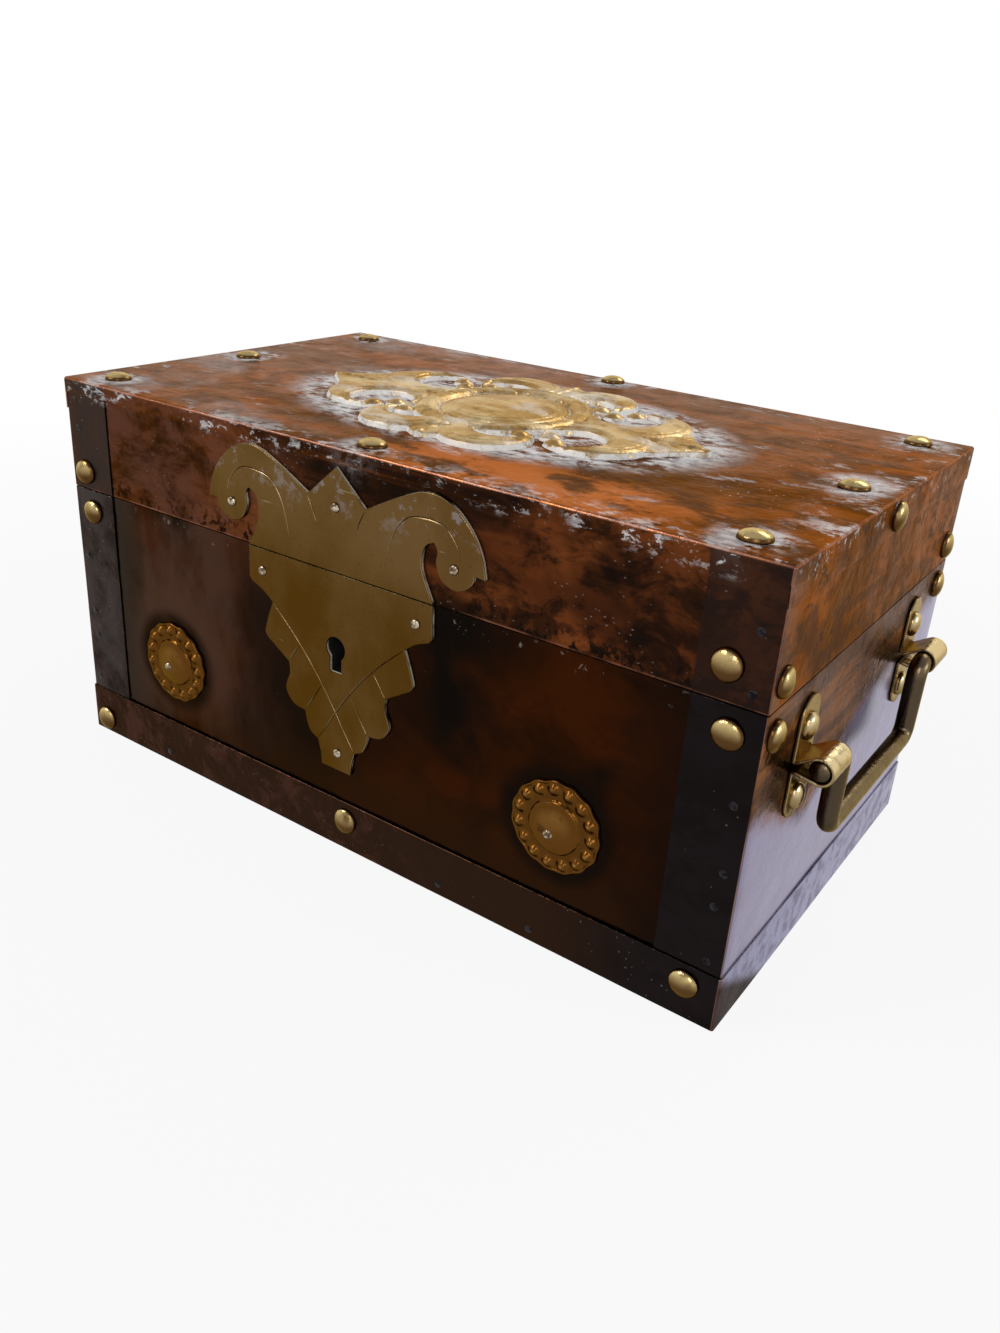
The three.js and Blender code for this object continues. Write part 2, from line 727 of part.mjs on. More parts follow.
// The bail's middle line: straight stretches joined by quarter turns, sampled at chosen stations.
class BailLine extends THREE.Curve {
  constructor() {
    super();
    this.stations = [];
    this.level(-rodReach);
    this.turn(-armReach - bailBend, -bailBend, Math.PI / 2, 0);
    this.turn(-armReach + bailBend, -bailDrop + bailBend, Math.PI, 1.5 * Math.PI);
    this.turn(armReach - bailBend, -bailDrop + bailBend, -Math.PI / 2, 0);
    this.turn(armReach + bailBend, -bailBend, Math.PI, Math.PI / 2);
    this.level(rodReach);
  }

  level(y) {
    this.stations.push({ point: new THREE.Vector3(0, y, 0), heading: new THREE.Vector3(0, 1, 0) });
  }

  turn(y, z, from, to) {
    const sense = Math.sign(to - from);
    for (let i = 0; i <= bailBendSteps; i += 1) {
      const angle = from + ((to - from) * i) / bailBendSteps;
      this.stations.push({
        point: new THREE.Vector3(0, y + bailBend * Math.cos(angle), z + bailBend * Math.sin(angle)),
        heading: new THREE.Vector3(0, -sense * Math.sin(angle), sense * Math.cos(angle)),
      });
    }
  }

  between(t, key) {
    const last = this.stations.length - 1;
    const place = Math.min(t * last, last);
    const before = Math.min(Math.floor(place), last - 1);
    return this.stations[before][key].clone().lerp(this.stations[before + 1][key], place - before);
  }

  getPoint(t) {
    return this.between(t, 'point');
  }

  getTangent(t) {
    return this.between(t, 'heading').normalize();
  }

  getUtoTmapping(u) {
    return u;
  }
}

function bail(name) {
  const line = new BailLine();
  const rim = new THREE.Vector2(rodRadius, 0);
  const section = [];
  for (let i = 0; i < rodSides; i += 1) {
    section.push(rim.clone().rotateAround(new THREE.Vector2(), (2 * Math.PI * i) / rodSides));
  }
  const geometry = new THREE.ExtrudeGeometry(new THREE.Shape(section), {
    steps: line.stations.length - 1,
    extrudePath: line,
    bevelEnabled: false,
  });
  const mesh = named(name, solidOf(geometry), 'bronze');
  mesh.position.set(loopOffset + mountGap, 0, 0);
  return mesh;
}

// The left handle is the right one turned half round, so its front strap is at its own far end.
function handle(side) {
  const group = new THREE.Group();
  const outward = directions[side].x;
  group.add(
    strap(`${side}_strap_front`, -outward * strapSpread),
    strap(`${side}_strap_back`, outward * strapSpread),
    bail(`${side}_bail`),
  );
  group.position.set(outward * wallX, 0, pivotHeight);
  group.rotation.z = outward > 0 ? 0 : Math.PI;
  for (const y of spread(strapSpread)) {
    for (const rise of [strapUpperStud, -strapLowerStud]) {
      const place = new THREE.Vector3(outward * (wallX + strapThickness), y, pivotHeight + rise);
      noteHole(place, directions[side], shankRadius);
    }
  }
  return group;
}

// Hinge: two leaves let into the seam, their knuckles taking turns along one pin
const knuckleBore = hingePinRadius + runningGap;
const knuckleRadius = knuckleBore + knuckleWall;
const hingeY = halfDepth + runningGap + knuckleRadius;
const hingeZ = bodyHeight + seamGap / 2;

function hingeRod(from, to, radius) {
  const [start, end] = [from, to].map((x) => new THREE.Vector3(x, hingeY, hingeZ));
  return bar(start, end, radius, knuckleSides);
}

function hingeLeafSolid(first, leafBottom) {
  const pitch = hingeLength / knuckleCount;
  const levels = [leafBottom, leafBottom + hingeLeaf];
  const parts = [block(spread(hingeLength / 2), [halfDepth - hingeLeafWidth, halfDepth], levels)];
  for (let i = first; i < knuckleCount; i += 2) {
    const start = i * pitch - hingeLength / 2;
    const x0 = start + (i > 0 ? knuckleEndGap / 2 : 0);
    const x1 = start + pitch - (i < knuckleCount - 1 ? knuckleEndGap / 2 : 0);
    const root = block([x0, x1], [halfDepth - hingeLeaf, hingeY], levels);
    parts.push(root, hingeRod(x0, x1, knuckleRadius));
  }
  const boreEnd = hingeLength / 2 + overrun;
  return united(parts).subtract(hingeRod(-boreEnd, boreEnd, knuckleBore));
}

// The seats that the leaves need in the wood and copper of the back.
function hingeSeats() {
  const along = spread(hingeLength / 2 + runningGap);
  const across = [halfDepth - hingeLeafWidth - runningGap, halfDepth + overrun];
  return [
    block(along, across, [bodyHeight - hingeLeaf, hingeZ]),
    block(along, across, [hingeZ, lidBottom + hingeLeaf]),
  ];
}

// Box lock: an open-backed case behind the front board, its bolt, and the link plate in the lid
const lockFace = -innerY;
const lockMiddleY = lockFace + stapleFoot + stapleWidth / 2;
const stapleX = plateShift + stapleOffset;
const boltTop = bodyHeight - boltDrop + boltHeight / 2;
const boltBottom = boltTop - boltHeight;
const boltNose = stapleX - stapleThickness / 2 - runningGap;
const boltTail = boltNose - boltLength;

function lockCase() {
  const sides = [plateShift - lockHalfWidth, plateShift + lockHalfWidth];
  const cavity = [sides[0] + lockWall, sides[1] - lockWall];
  const [bottom, top] = [bodyHeight - lockHeight, bodyHeight];
  const shell = block(sides, [lockFace, lockFace + lockDepth], [bottom, top]);
  const guideEnd = cavity[0] + guideLength;
  const hollow = block(
    cavity, [lockFace - overrun, lockFace + lockDepth - lockWall], [bottom + lockWall, top - lockWall]);
  const guide = block(
    [sides[0], guideEnd],
    [lockFace, lockFace + lockDepth - lockWall / 2],
    [boltBottom - lockWall - runningGap, top - lockWall / 2]);
  const channel = block(
    [cavity[0], guideEnd + overrun],
    [lockMiddleY - boltWidth / 2 - runningGap, lockMiddleY + boltWidth / 2 + runningGap],
    [boltBottom - runningGap, boltTop + runningGap]);
  const slot = block(
    [stapleX - stapleThickness / 2 - runningGap, stapleX + stapleThickness / 2 + runningGap],
    [lockFace - overrun, lockFace + lockDepth - lockWall],
    [top - 2 * lockWall, top + overrun]);
  return shell.subtract(hollow).add(guide).subtract(channel).subtract(slot);
}

// The bolt with the talon that the key's bit pushes.
function lockBolt() {
  const across = [lockMiddleY - boltWidth / 2, lockMiddleY + boltWidth / 2];
  const talonEnd = boltNose - boltTravel;
  return united([
    block([boltTail, boltNose], across, [boltBottom, boltTop]),
    block([talonEnd - talonWidth, talonEnd], across, [boltBottom - talonDrop, boltTop]),
  ]);
}

// The link plate on the inside of the lid's front, with the staple that drops into the lock.
function linkPlate() {
  const foot = lidBottom + linkLift;
  const sides = [plateShift - linkHalfWidth, plateShift + linkHalfWidth];
  const staple = [stapleX - stapleThickness / 2, stapleX + stapleThickness / 2];
  const across = [lockMiddleY - stapleWidth / 2, lockMiddleY + stapleWidth / 2];
  const eye = block(
    [staple[0] - overrun, staple[1] + overrun],
    [lockMiddleY - boltWidth / 2 - runningGap, lockMiddleY + boltWidth / 2 + runningGap],
    [boltBottom - runningGap, boltTop + runningGap]);
  return united([
    block(sides, [lockFace, lockFace + linkThickness], [foot, foot + linkHeight]),
    block(sides, [lockFace, lockFace + lockDepth - lockWall], [foot, foot + linkThickness]),
    block(staple, across, [boltBottom - 2 * lockWall, foot + linkThickness]),
  ]).subtract(eye);
}

// Copper sheets
function endSheet(outward, bottom, top) {
  const edges = (from, to) => (outward > 0 ? [from, to] : [-to, -from]);
  const outer = block(edges(lapEdgeX, wallX), spread(lapY), [bottom, top]);
  const levels = [bottom - overrun, top + overrun];
  return outer.subtract(block(edges(lapEdgeX - overrun, coreX), spread(fieldY), levels));
}

function bandRound() {
  const outer = block(spread(halfLength), spread(halfDepth), [0, bandHeight]);
  return outer.subtract(block(spread(wallX), spread(lapY), [-overrun, bandHeight + overrun]));
}

// The lid's top sheet, turned down on every side and further down at the ends.
function capSheet() {
  const outer = block(spread(halfLength), spread(halfDepth), [height - capEndDrop, height]);
  const under = height - capEndDrop - overrun;
  const hollow = block(spread(wallX), spread(lapY), [under, coreTop]);
  const reliefs = [
    [fieldY, halfDepth + overrun],
    [-halfDepth - overrun, -fieldY],
  ].map((across) => block(spread(wallX), across, [under, height - capSideDrop]));
  return cutBy(outer, [hollow, ...reliefs]);
}

// Assembly: fittings first, because their shanks drill the copper and the wood behind them
const fittings = {
  body: [lowerLockPlate(), ...rosettes(), ...bodyStuds(), handle('left'), handle('right')],
  lid: [upperLockPlate(), cartouche(), ...lidStuds()],
};

const box = new THREE.Group();
const lid = new THREE.Group();
box.add(lid);
box.add(...fittings.body);
lid.add(...fittings.lid);

const keyway = keyholeCutter(runningGap);
const seats = hingeSeats();

function drilledPiece(name, solid, finish, cutters = []) {
  return named(name, cutBy(drilled(solid), cutters), finish);
}

const wallBoards = [boardThickness, bodyHeight];
const frontFace = [-fieldY, -coreY];
const backFace = [coreY, fieldY];
box.add(
  drilledPiece('bottom_board', block(spread(coreX), spread(coreY), [0, boardThickness]), 'pine'),
  drilledPiece('front_board', block(spread(coreX), [-coreY, -innerY], wallBoards), 'pine', [keyway]),
  drilledPiece('back_board', block(spread(coreX), [innerY, coreY], wallBoards), 'pine', seats),
  drilledPiece('left_board', block([-coreX, -innerX], spread(innerY), wallBoards), 'pine'),
  drilledPiece('right_board', block([innerX, coreX], spread(innerY), wallBoards), 'pine'),
  drilledPiece('front_sheet', block(spread(coreX), frontFace, [0, bodyHeight]), 'copper', [keyway]),
  drilledPiece('back_sheet', block(spread(coreX), backFace, [0, bodyHeight]), 'copper', seats),
  drilledPiece('left_end_sheet', endSheet(-1, 0, bodyHeight), 'darkCopper'),
  drilledPiece('right_end_sheet', endSheet(1, 0, bodyHeight), 'darkCopper'),
  drilledPiece('base_band', bandRound(), 'darkCopper'),
  named('lock_case', lockCase(), 'steel'),
  named('lock_bolt', lockBolt(), 'steel'),
  named('hinge_leaf_body', hingeLeafSolid(0, bodyHeight - hingeLeaf), 'brass'),
  named('hinge_pin', hingeRod(-hingeLength / 2, hingeLength / 2, hingePinRadius), 'brass'),
);

const lidWalls = [lidBottom, coreTop];
const lidSides = block(spread(coreX), spread(coreY), [lidBottom, lidCeiling]);
const lidHollow = block(spread(innerX), spread(innerY), [lidBottom - overrun, lidCeiling + overrun]);
lid.add(
  drilledPiece('lid_frame', lidSides.subtract(lidHollow), 'pine', seats),
  drilledPiece('lid_top_board', block(spread(coreX), spread(coreY), [lidCeiling, coreTop]), 'pine'),
  drilledPiece('lid_front_sheet', block(spread(coreX), frontFace, lidWalls), 'lidCopper'),
  drilledPiece('lid_back_sheet', block(spread(coreX), backFace, lidWalls), 'lidCopper', seats),
  drilledPiece('lid_left_end_sheet', endSheet(-1, lidBottom, coreTop), 'darkCopper'),
  drilledPiece('lid_right_end_sheet', endSheet(1, lidBottom, coreTop), 'darkCopper'),
  drilledPiece('lid_cap_sheet', capSheet(), 'lidCopper'),
  named('link_plate', linkPlate(), 'steel'),
  named('hinge_leaf_lid', hingeLeafSolid(1, lidBottom), 'brass'),
);

export default box;
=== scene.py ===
import itertools
import math

import bmesh
import bpy
import numpy as np
from mathutils import Matrix, Vector


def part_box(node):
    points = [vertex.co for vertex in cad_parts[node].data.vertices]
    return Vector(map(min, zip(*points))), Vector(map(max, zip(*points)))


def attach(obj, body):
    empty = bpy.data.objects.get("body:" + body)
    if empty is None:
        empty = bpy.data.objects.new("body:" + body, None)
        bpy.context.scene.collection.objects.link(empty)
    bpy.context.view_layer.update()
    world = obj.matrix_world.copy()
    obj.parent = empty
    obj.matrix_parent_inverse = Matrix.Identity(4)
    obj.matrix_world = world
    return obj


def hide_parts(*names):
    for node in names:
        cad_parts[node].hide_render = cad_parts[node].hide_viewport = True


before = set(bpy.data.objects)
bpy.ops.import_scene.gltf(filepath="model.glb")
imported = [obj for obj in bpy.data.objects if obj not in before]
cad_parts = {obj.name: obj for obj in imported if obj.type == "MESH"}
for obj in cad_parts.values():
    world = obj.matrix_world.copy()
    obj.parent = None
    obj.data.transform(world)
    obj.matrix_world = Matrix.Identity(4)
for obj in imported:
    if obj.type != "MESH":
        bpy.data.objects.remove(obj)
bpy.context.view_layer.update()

# The place where the box is seen: a plain pale table under wide soft lamps. The camera looks down
# on the box's front right corner from a little above the lid, slightly tilted, as a hand held it.
PHOTO_WIDTH, PHOTO_HEIGHT = 1000, 1333
FOCAL_PIXELS = 1127.3
AXIS_PIXEL = (482.0, 654.8)
SENSOR = 36.0
CAMERA_PLACE = (0.2822, -0.4189, 0.2957)
CAMERA_TURN, CAMERA_RISE, CAMERA_ROLL = (math.radians(angle) for angle in (34.45, 24.92, 3.42))

level = Vector((math.cos(CAMERA_TURN), math.sin(CAMERA_TURN), 0))
backward = Vector((
    math.sin(CAMERA_TURN) * math.cos(CAMERA_RISE),
    -math.cos(CAMERA_TURN) * math.cos(CAMERA_RISE),
    math.sin(CAMERA_RISE),
))
plumb = backward.cross(level)
rightward = level * math.cos(CAMERA_ROLL) + plumb * math.sin(CAMERA_ROLL)
upward = plumb * math.cos(CAMERA_ROLL) - level * math.sin(CAMERA_ROLL)
turn = Matrix((rightward, upward, backward)).transposed().to_4x4()
lens = bpy.data.cameras.new("camera")
lens.sensor_fit = "VERTICAL"
lens.sensor_height = SENSOR
lens.lens = SENSOR * FOCAL_PIXELS / PHOTO_HEIGHT
lens.shift_x = (PHOTO_WIDTH / 2 - AXIS_PIXEL[0]) / PHOTO_HEIGHT
lens.shift_y = (AXIS_PIXEL[1] - PHOTO_HEIGHT / 2) / PHOTO_HEIGHT
camera = bpy.data.objects.new("camera", lens)
camera.matrix_world = Matrix.Translation(CAMERA_PLACE) @ turn
bpy.context.scene.collection.objects.link(camera)
bpy.context.scene.camera = camera
bpy.context.scene.view_settings.view_transform = "Standard"

# The table is a wide white sheet. It shows white to the camera and in reflections, more so further
# off, and it keeps a soft shadow under the box.
TABLE_REACH, TABLE_COLOUR = 6.0, (0.62, 0.62, 0.63, 1.0)
NEAR_WHITE, SHADOW_REACH, WHITE_REACH = 0.90, 0.32, 0.9


class Signal:
    """The output of a shader node. Arithmetic on it adds Math nodes, and node() adds any other."""

    def __init__(self, socket):
        self.socket = socket

    def node(self, kind, settings=None, sockets=None, output=0):
        """Adds a node of a kind: its settings come first, then its sockets get values or links. Gives
        one of its outputs, or nothing where it ends the tree."""
        tree = self.socket.id_data
        made = tree.nodes.new(kind)
        for key, value in (settings or {}).items():
            setattr(made, key, value)
        for key, value in (sockets or {}).items():
            if isinstance(value, Signal):
                tree.links.new(value.socket, made.inputs[key])
            else:
                made.inputs[key].default_value = value
        return Signal(made.outputs[output]) if made.outputs else None

    def maths(self, operation, *values):
        return self.node("ShaderNodeMath", {"operation": operation}, dict(enumerate(values)))

    def __add__(self, other):
        return self.maths("ADD", self, other)

    def __sub__(self, other):
        return self.maths("SUBTRACT", self, other)

    def __rsub__(self, other):
        return self.maths("SUBTRACT", other, self)

    def __mul__(self, other):
        return self.maths("MULTIPLY", self, other)

    def __abs__(self):
        return self.maths("ABSOLUTE", self)

    __radd__ = __add__
    __rmul__ = __mul__

    def most(self, *others):
        highest = self
        for other in others:
            highest = self.maths("MAXIMUM", highest, other)
        return highest

    def least(self, other):
        return self.maths("MINIMUM", self, other)

    def between(self, low, high):
        """Zero at low, one at high, and a smooth step from one to the other, in either order."""
        sockets = {"Value": self, "From Min": low, "From Max": high}
        return self.node("ShaderNodeMapRange", {"interpolation_type": "SMOOTHSTEP"}, sockets)

    def near(self, value, reach):
        """One at a value, falling to zero at the reach on both sides of it."""
        return abs(self - value).between(reach, 0.0)

    def tint(self, off, on):
        """The colour off where the signal is zero, and on where it is one."""
        sockets = {
            0: self,
            6: off if isinstance(off, Signal) else (*off, 1.0),
            7: on if isinstance(on, Signal) else (*on, 1.0),
        }
        return self.node("ShaderNodeMix", {"data_type": "RGBA"}, sockets, 2)

    def under(self, *layers):
        """This colour under other ones, laid on in turn, each where its own mask is one."""
        colour = self
        for mask, layer in layers:
            colour = mask.tint(colour, layer)
        return colour

    def noise(self, scale, detail=3.0, roughness=0.5, distortion=0.0):
        """Cloudy noise over a place, mostly between 0.3 and 0.7, with scale features to a metre."""
        sockets = {"Vector": self, "Scale": scale, "Detail": detail}
        sockets |= {"Roughness": roughness, "Distortion": distortion}
        return self.node("ShaderNodeTexNoise", {}, sockets)

    def cells(self, scale):
        """The distance to the nearest of many scattered points, in shares of their spacing."""
        return self.node("ShaderNodeTexVoronoi", {}, {"Vector": self, "Scale": scale})

    def stretched(self, scale=(1.0, 1.0, 1.0), turn=(0.0, 0.0, 0.0), shift=(0.0, 0.0, 0.0)):
        """A place turned, scaled on each axis and shifted."""
        sockets = {"Vector": self, "Location": shift, "Rotation": turn, "Scale": scale}
        return self.node("ShaderNodeMapping", {}, sockets)

    def axes(self):
        """The three parts of a place."""
        split = self.node("ShaderNodeSeparateXYZ", {}, {0: self})
        return [Signal(part) for part in split.socket.node.outputs]

    def far_from(self, point):
        """The distance of a place from a point."""
        return self.node("ShaderNodeVectorMath", {"operation": "DISTANCE"}, {0: self, 1: point}, 1)


def new_tree(owner, node, output):
    """Empties a node tree and adds one node, whose output starts the signals."""
    owner.use_nodes = True
    owner.node_tree.nodes.clear()
    return Signal(owner.node_tree.nodes.new(node).outputs[output])


def new_finish(name):
    """An empty material, and the place on the object that its patterns start from."""
    material = bpy.data.materials.new(name)
    return material, new_tree(material, "ShaderNodeTexCoord", "Object")


def seen_rays(start):
    """One for the rays that show something, and zero for those that only light the object."""
    rays = start.node("ShaderNodeLightPath").socket.node.outputs
    shown = Signal(rays["Is Camera Ray"]).most(Signal(rays["Is Glossy Ray"]))
    return shown.most(Signal(rays["Is Transmission Ray"]))


table_finish, table_place = new_finish("white_table")
cloth = table_place.node("ShaderNodeBsdfDiffuse", {}, {"Color": TABLE_COLOUR})
white = table_place.node("ShaderNodeEmission")
far_off = table_place.far_from((0.0, 0.0, 0.0)).between(SHADOW_REACH, WHITE_REACH)
whiteness = seen_rays(table_place) * (far_off * (1 - NEAR_WHITE) + NEAR_WHITE)
table_surface = table_place.node("ShaderNodeMixShader", {}, {0: whiteness, 1: cloth, 2: white})
table_place.node("ShaderNodeOutputMaterial", {}, {"Surface": table_surface})
table_mesh = bpy.data.meshes.new("table")
table_corners = np.array([(-1, -1, 0), (1, -1, 0), (1, 1, 0), (-1, 1, 0)]) * TABLE_REACH
table_mesh.from_pydata(table_corners.tolist(), [], [(0, 1, 2, 3)])
table_mesh.materials.append(table_finish)
table = bpy.data.objects.new("table", table_mesh)
bpy.context.scene.collection.objects.link(table)

# The room is white round the table and darker overhead, so that domed metal shows both. Four flat
# soft lamps light the box: two windows in front of it, a lamp behind it and one at its right.
ROOM_WALL, ROOM_CEILING, ROOM_FILL = (1.0, 1.0, 1.0), (0.50, 0.50, 0.53), 0.40
WALL_TOP, CEILING_EDGE = 0.35, 0.85
LAMP_AIM = Vector((0, 0, 0.1))

room = bpy.data.worlds.new("room")
bpy.context.scene.world = room
room_way = new_tree(room, "ShaderNodeTexCoord", "Generated")
room_colour = room_way.axes()[2].between(WALL_TOP, CEILING_EDGE).tint(ROOM_WALL, ROOM_CEILING)
walls = room_way.node("ShaderNodeBackground", {}, {"Color": room_colour})
fill = room_way.node("ShaderNodeBackground", {}, {"Strength": ROOM_FILL})
room_light = room_way.node("ShaderNodeMixShader", {}, {0: seen_rays(room_way), 1: fill, 2: walls})
room_way.node("ShaderNodeOutputWorld", {}, {"Surface": room_light})


def lamp(name, place, width, height, watts, colour):
    """A flat soft lamp that faces the middle of the box."""
    data = bpy.data.lights.new(name, "AREA")
    data.shape = "RECTANGLE"
    data.size, data.size_y = width, height
    data.energy = watts
    data.color = colour
    made = bpy.data.objects.new(name, data)
    made.location = place
    made.rotation_euler = (LAMP_AIM - Vector(place)).to_track_quat("-Z", "Y").to_euler()
    bpy.context.scene.collection.objects.link(made)


lamp("window", (-1.1, -1.2, 1.5), 0.7, 0.7, 16.0, (1.0, 0.98, 0.95))
lamp("second_window", (0.9, -1.5, 1.1), 0.4, 0.7, 6.0, (0.95, 0.97, 1.0))
lamp("room_lamp", (0.3, 1.6, 1.7), 1.2, 0.6, 9.0, (1.0, 0.97, 0.93))
lamp("side_lamp", (1.9, 0.5, 0.7), 0.7, 0.7, 7.0, (0.9, 0.94, 1.0))


# The carcass is of planed softwood boards, nailed together, and gone brown with age. Only its rims
# and its inside can be seen, when the lid is open.
WOOD_PALE, WOOD_RIPE, WOOD_STAIN = (0.36, 0.20, 0.09), (0.17, 0.075, 0.03), (0.07, 0.03, 0.014)
KEYHOLE, KEYHOLE_SHADE = (-0.0082, -0.0967, 0.0940), (0.006, 0.005, 0.004)
FILM_TINT, FILM_ROUGHNESS = (0.68, 0.58, 1.0, 1.0), 0.2
SOIL_COLOUR, SOIL_ROUGHNESS, SOIL_GLINT = (0.020, 0.013, 0.010, 1.0), 0.85, 0.15


def dress(finish, *nodes):
    """Gives CAD nodes, whose shapes are right, a finish."""
    for node in nodes:
        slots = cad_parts[node].data.materials
        slots.clear()
        slots.append(finish)


def coat_with(
    place, colour, roughness, metallic=1.0, relief=None, depth=0.0, edge=(1, 1, 1), soil=None, film=None
):
    """Ends a material with a surface of a colour over a relief, whose depth from zero to one is in
    metres. Edge tints what a low angle reflects. Film is how far a glassy lilac film covers it, and
    soil how far dull black stains, and on the end sheets' corners painted shade, hide all that."""
    sockets = {"Base Color": colour, "Roughness": roughness, "Metallic": metallic}
    sockets |= {"Specular Tint": (*edge, 1.0)}
    if relief is not None:
        sockets["Normal"] = place.node("ShaderNodeBump", {}, {"Height": relief, "Distance": depth})
    surface = place.node("ShaderNodeBsdfPrincipled", {}, sockets)
    if film is not None:
        sockets |= {"Coat Weight": 1.0, "Coat Roughness": FILM_ROUGHNESS, "Specular Tint": FILM_TINT}
        glaze = place.node("ShaderNodeBsdfPrincipled", {}, sockets)
        surface = place.node("ShaderNodeMixShader", {}, {0: film, 1: surface, 2: glaze})
    if soil is not None:
        sockets = {"Base Color": SOIL_COLOUR, "Roughness": SOIL_ROUGHNESS}
        sockets |= {"Specular IOR Level": SOIL_GLINT}
        dirt_and_shade = place.node("ShaderNodeBsdfPrincipled", {}, sockets)
        surface = place.node("ShaderNodeMixShader", {}, {0: soil, 1: surface, 2: dirt_and_shade})
    place.node("ShaderNodeOutputMaterial", {}, {"Surface": surface})


wood_finish, place = new_finish("old_softwood")
rings = place.stretched((1.0, 14.0, 14.0)).noise(8.0, 4.0, 0.55, 0.8)
fibres = place.stretched((5.0, 130.0, 130.0)).noise(8.0, 3.0)
stain = place.noise(12.0, 5.0, 0.6)
figure = rings.between(0.4, 0.6) * 0.75 + fibres.between(0.35, 0.65) * 0.25
wood_colour = figure.tint(WOOD_PALE, WOOD_RIPE).under(
    (stain.between(0.5, 0.72) * 0.6, WOOD_STAIN),
    (place.far_from(KEYHOLE).between(0.017, 0.012), KEYHOLE_SHADE),
)
coat_with(place, wood_colour, fibres * 0.3 + 0.5, 0.0, fibres + rings * 0.5, 0.00035)
dress(wood_finish, "bottom_board", "front_board", "back_board", "left_board", "right_board")
dress(wood_finish, "lid_frame", "lid_top_board")

# The copper on the front and back of the body: thin sheets nailed to the boards, oiled and smoked
# to a very dark brown with warmer clouds, and rubbed by hands. Dark halos round the lock plate and
# the rosettes are smoke stains and painted shade.
LAMPBLACK, DEEP_BROWN = (0.0058, 0.0040, 0.0030), (0.017, 0.0054, 0.0018)
WARM_BROWN, RUBBED_BROWN, LAP_TAN = (0.042, 0.0095, 0.0018), (0.070, 0.036, 0.025), (0.034, 0.026, 0.021)
SMOKE, DUST, BROWN_EDGE = (0.022, 0.0088, 0.0036), (0.30, 0.27, 0.24), (0.58, 0.52, 0.47)
PLATE_MIDDLE, FRONT_TOP, DENT_DEPTH = (KEYHOLE[0], -0.1, 0.098), 0.1265, 0.004
WORN_ALONG, WORN_UP, SMOKED_UP = (-0.01, -0.110), (-0.030, 0.060), (0.066, 0.026)
LEFT_LAP, RIGHT_SOOT, PLATE_HALO = (-0.126, -0.148), (0.122, 0.150), (0.066, 0.045)
ROSETTE_HALO = (0.029, 0.021)


def at(node):
    """A node's lowest and highest corner, and its middle, as arrays in metres."""
    low, high = (np.array(corner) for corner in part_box(node))
    return low, high, (low + high) / 2


def patina(name, dark, middle, warm, warmth, mottling):
    """Starts a finish of old copper: the material, its place, its colour and the blotches in it.
    Large clouds lie between dark and middle, smaller ones add the warm colour, by warmth, and the
    blotches bring back the dark one, by mottling."""
    material, place = new_finish(name)
    clouds = place.noise(17.0, 3.0, 0.5, 0.4)
    blotches = place.stretched((1.0, 1.0, 1.4), shift=(0.3, 0.1, 0.2)).noise(62.0, 7.0, 0.66, 0.6)
    glow = place.stretched((0.8, 1.0, 1.0), shift=(2.0, 5.0, 1.0)).noise(24.0, 4.0, 0.55, 0.5)
    colour = clouds.between(0.34, 0.60).tint(dark, middle).under(
        ((glow * 0.6 + clouds * 0.4).between(0.44, 0.63) * warmth, warm),
        (blotches.between(0.48, 0.64) * mottling, dark),
    )
    return material, place, colour, blotches


def dents(place):
    """The relief of old sheet metal: slow waves, small knocks and fine pits."""
    return place.noise(16.0, 2.0) * 0.78 + place.noise(75.0, 2.0) * 0.18 + place.noise(420.0, 3.0) * 0.04


def strokes(place, turn, scale, longest=0):
    """Long faint marks of a rag or a brush along one axis of a turned place, one where strongest."""
    stretch = [0.06 if axis == longest else 1.0 for axis in range(3)]
    return place.stretched(stretch, turn).noise(scale, 4.0, 0.65, 0.3).between(0.48, 0.66)


body_finish, place, colour, blotches = patina("dark_copper", LAMPBLACK, DEEP_BROWN, WARM_BROWN, 0.8, 0.3)
along, out, rise = place.axes()
hand = place.stretched((1.0, 1.0, 0.5), shift=(3.0, 0.0, 1.0)).noise(34.0, 4.0, 0.6).between(0.30, 0.66)
worn_side = along.between(*WORN_ALONG) * rise.between(*WORN_UP)
soot_and_shade = along.between(*RIGHT_SOOT) * 0.75
# The dark halos round the lock plate and the rosettes are smoke stains and painted shade.
soot_and_shade = soot_and_shade.most(place.far_from(PLATE_MIDDLE).between(*PLATE_HALO) * 0.6)
for node in ("rosette_left", "rosette_right"):
    soot_and_shade = soot_and_shade.most(place.far_from(tuple(at(node)[2])).between(*ROSETTE_HALO) * 0.9)
nicks = rise.near(FRONT_TOP, 0.005) * place.noise(230.0, 4.0, 0.7).between(0.63, 0.68)
nicks = nicks.most(place.cells(95.0).between(0.05, 0.02) * hand * 0.3)
colour = colour.under(
    (worn_side * hand * 0.85, RUBBED_BROWN),
    (rise.between(*SMOKED_UP) * 0.8 * (1 - worn_side), SMOKE),
    (along.between(*LEFT_LAP) * 0.85, LAP_TAN),
    (soot_and_shade * blotches.between(1.0, 0.42), LAMPBLACK),
    (nicks * 0.4, DUST),
)
gloss = blotches * 0.22 + 0.14 + nicks * 0.2
coat_with(place, colour, gloss, 1.0, dents(place), DENT_DEPTH, BROWN_EDGE)
dress(body_finish, "front_sheet", "back_sheet")
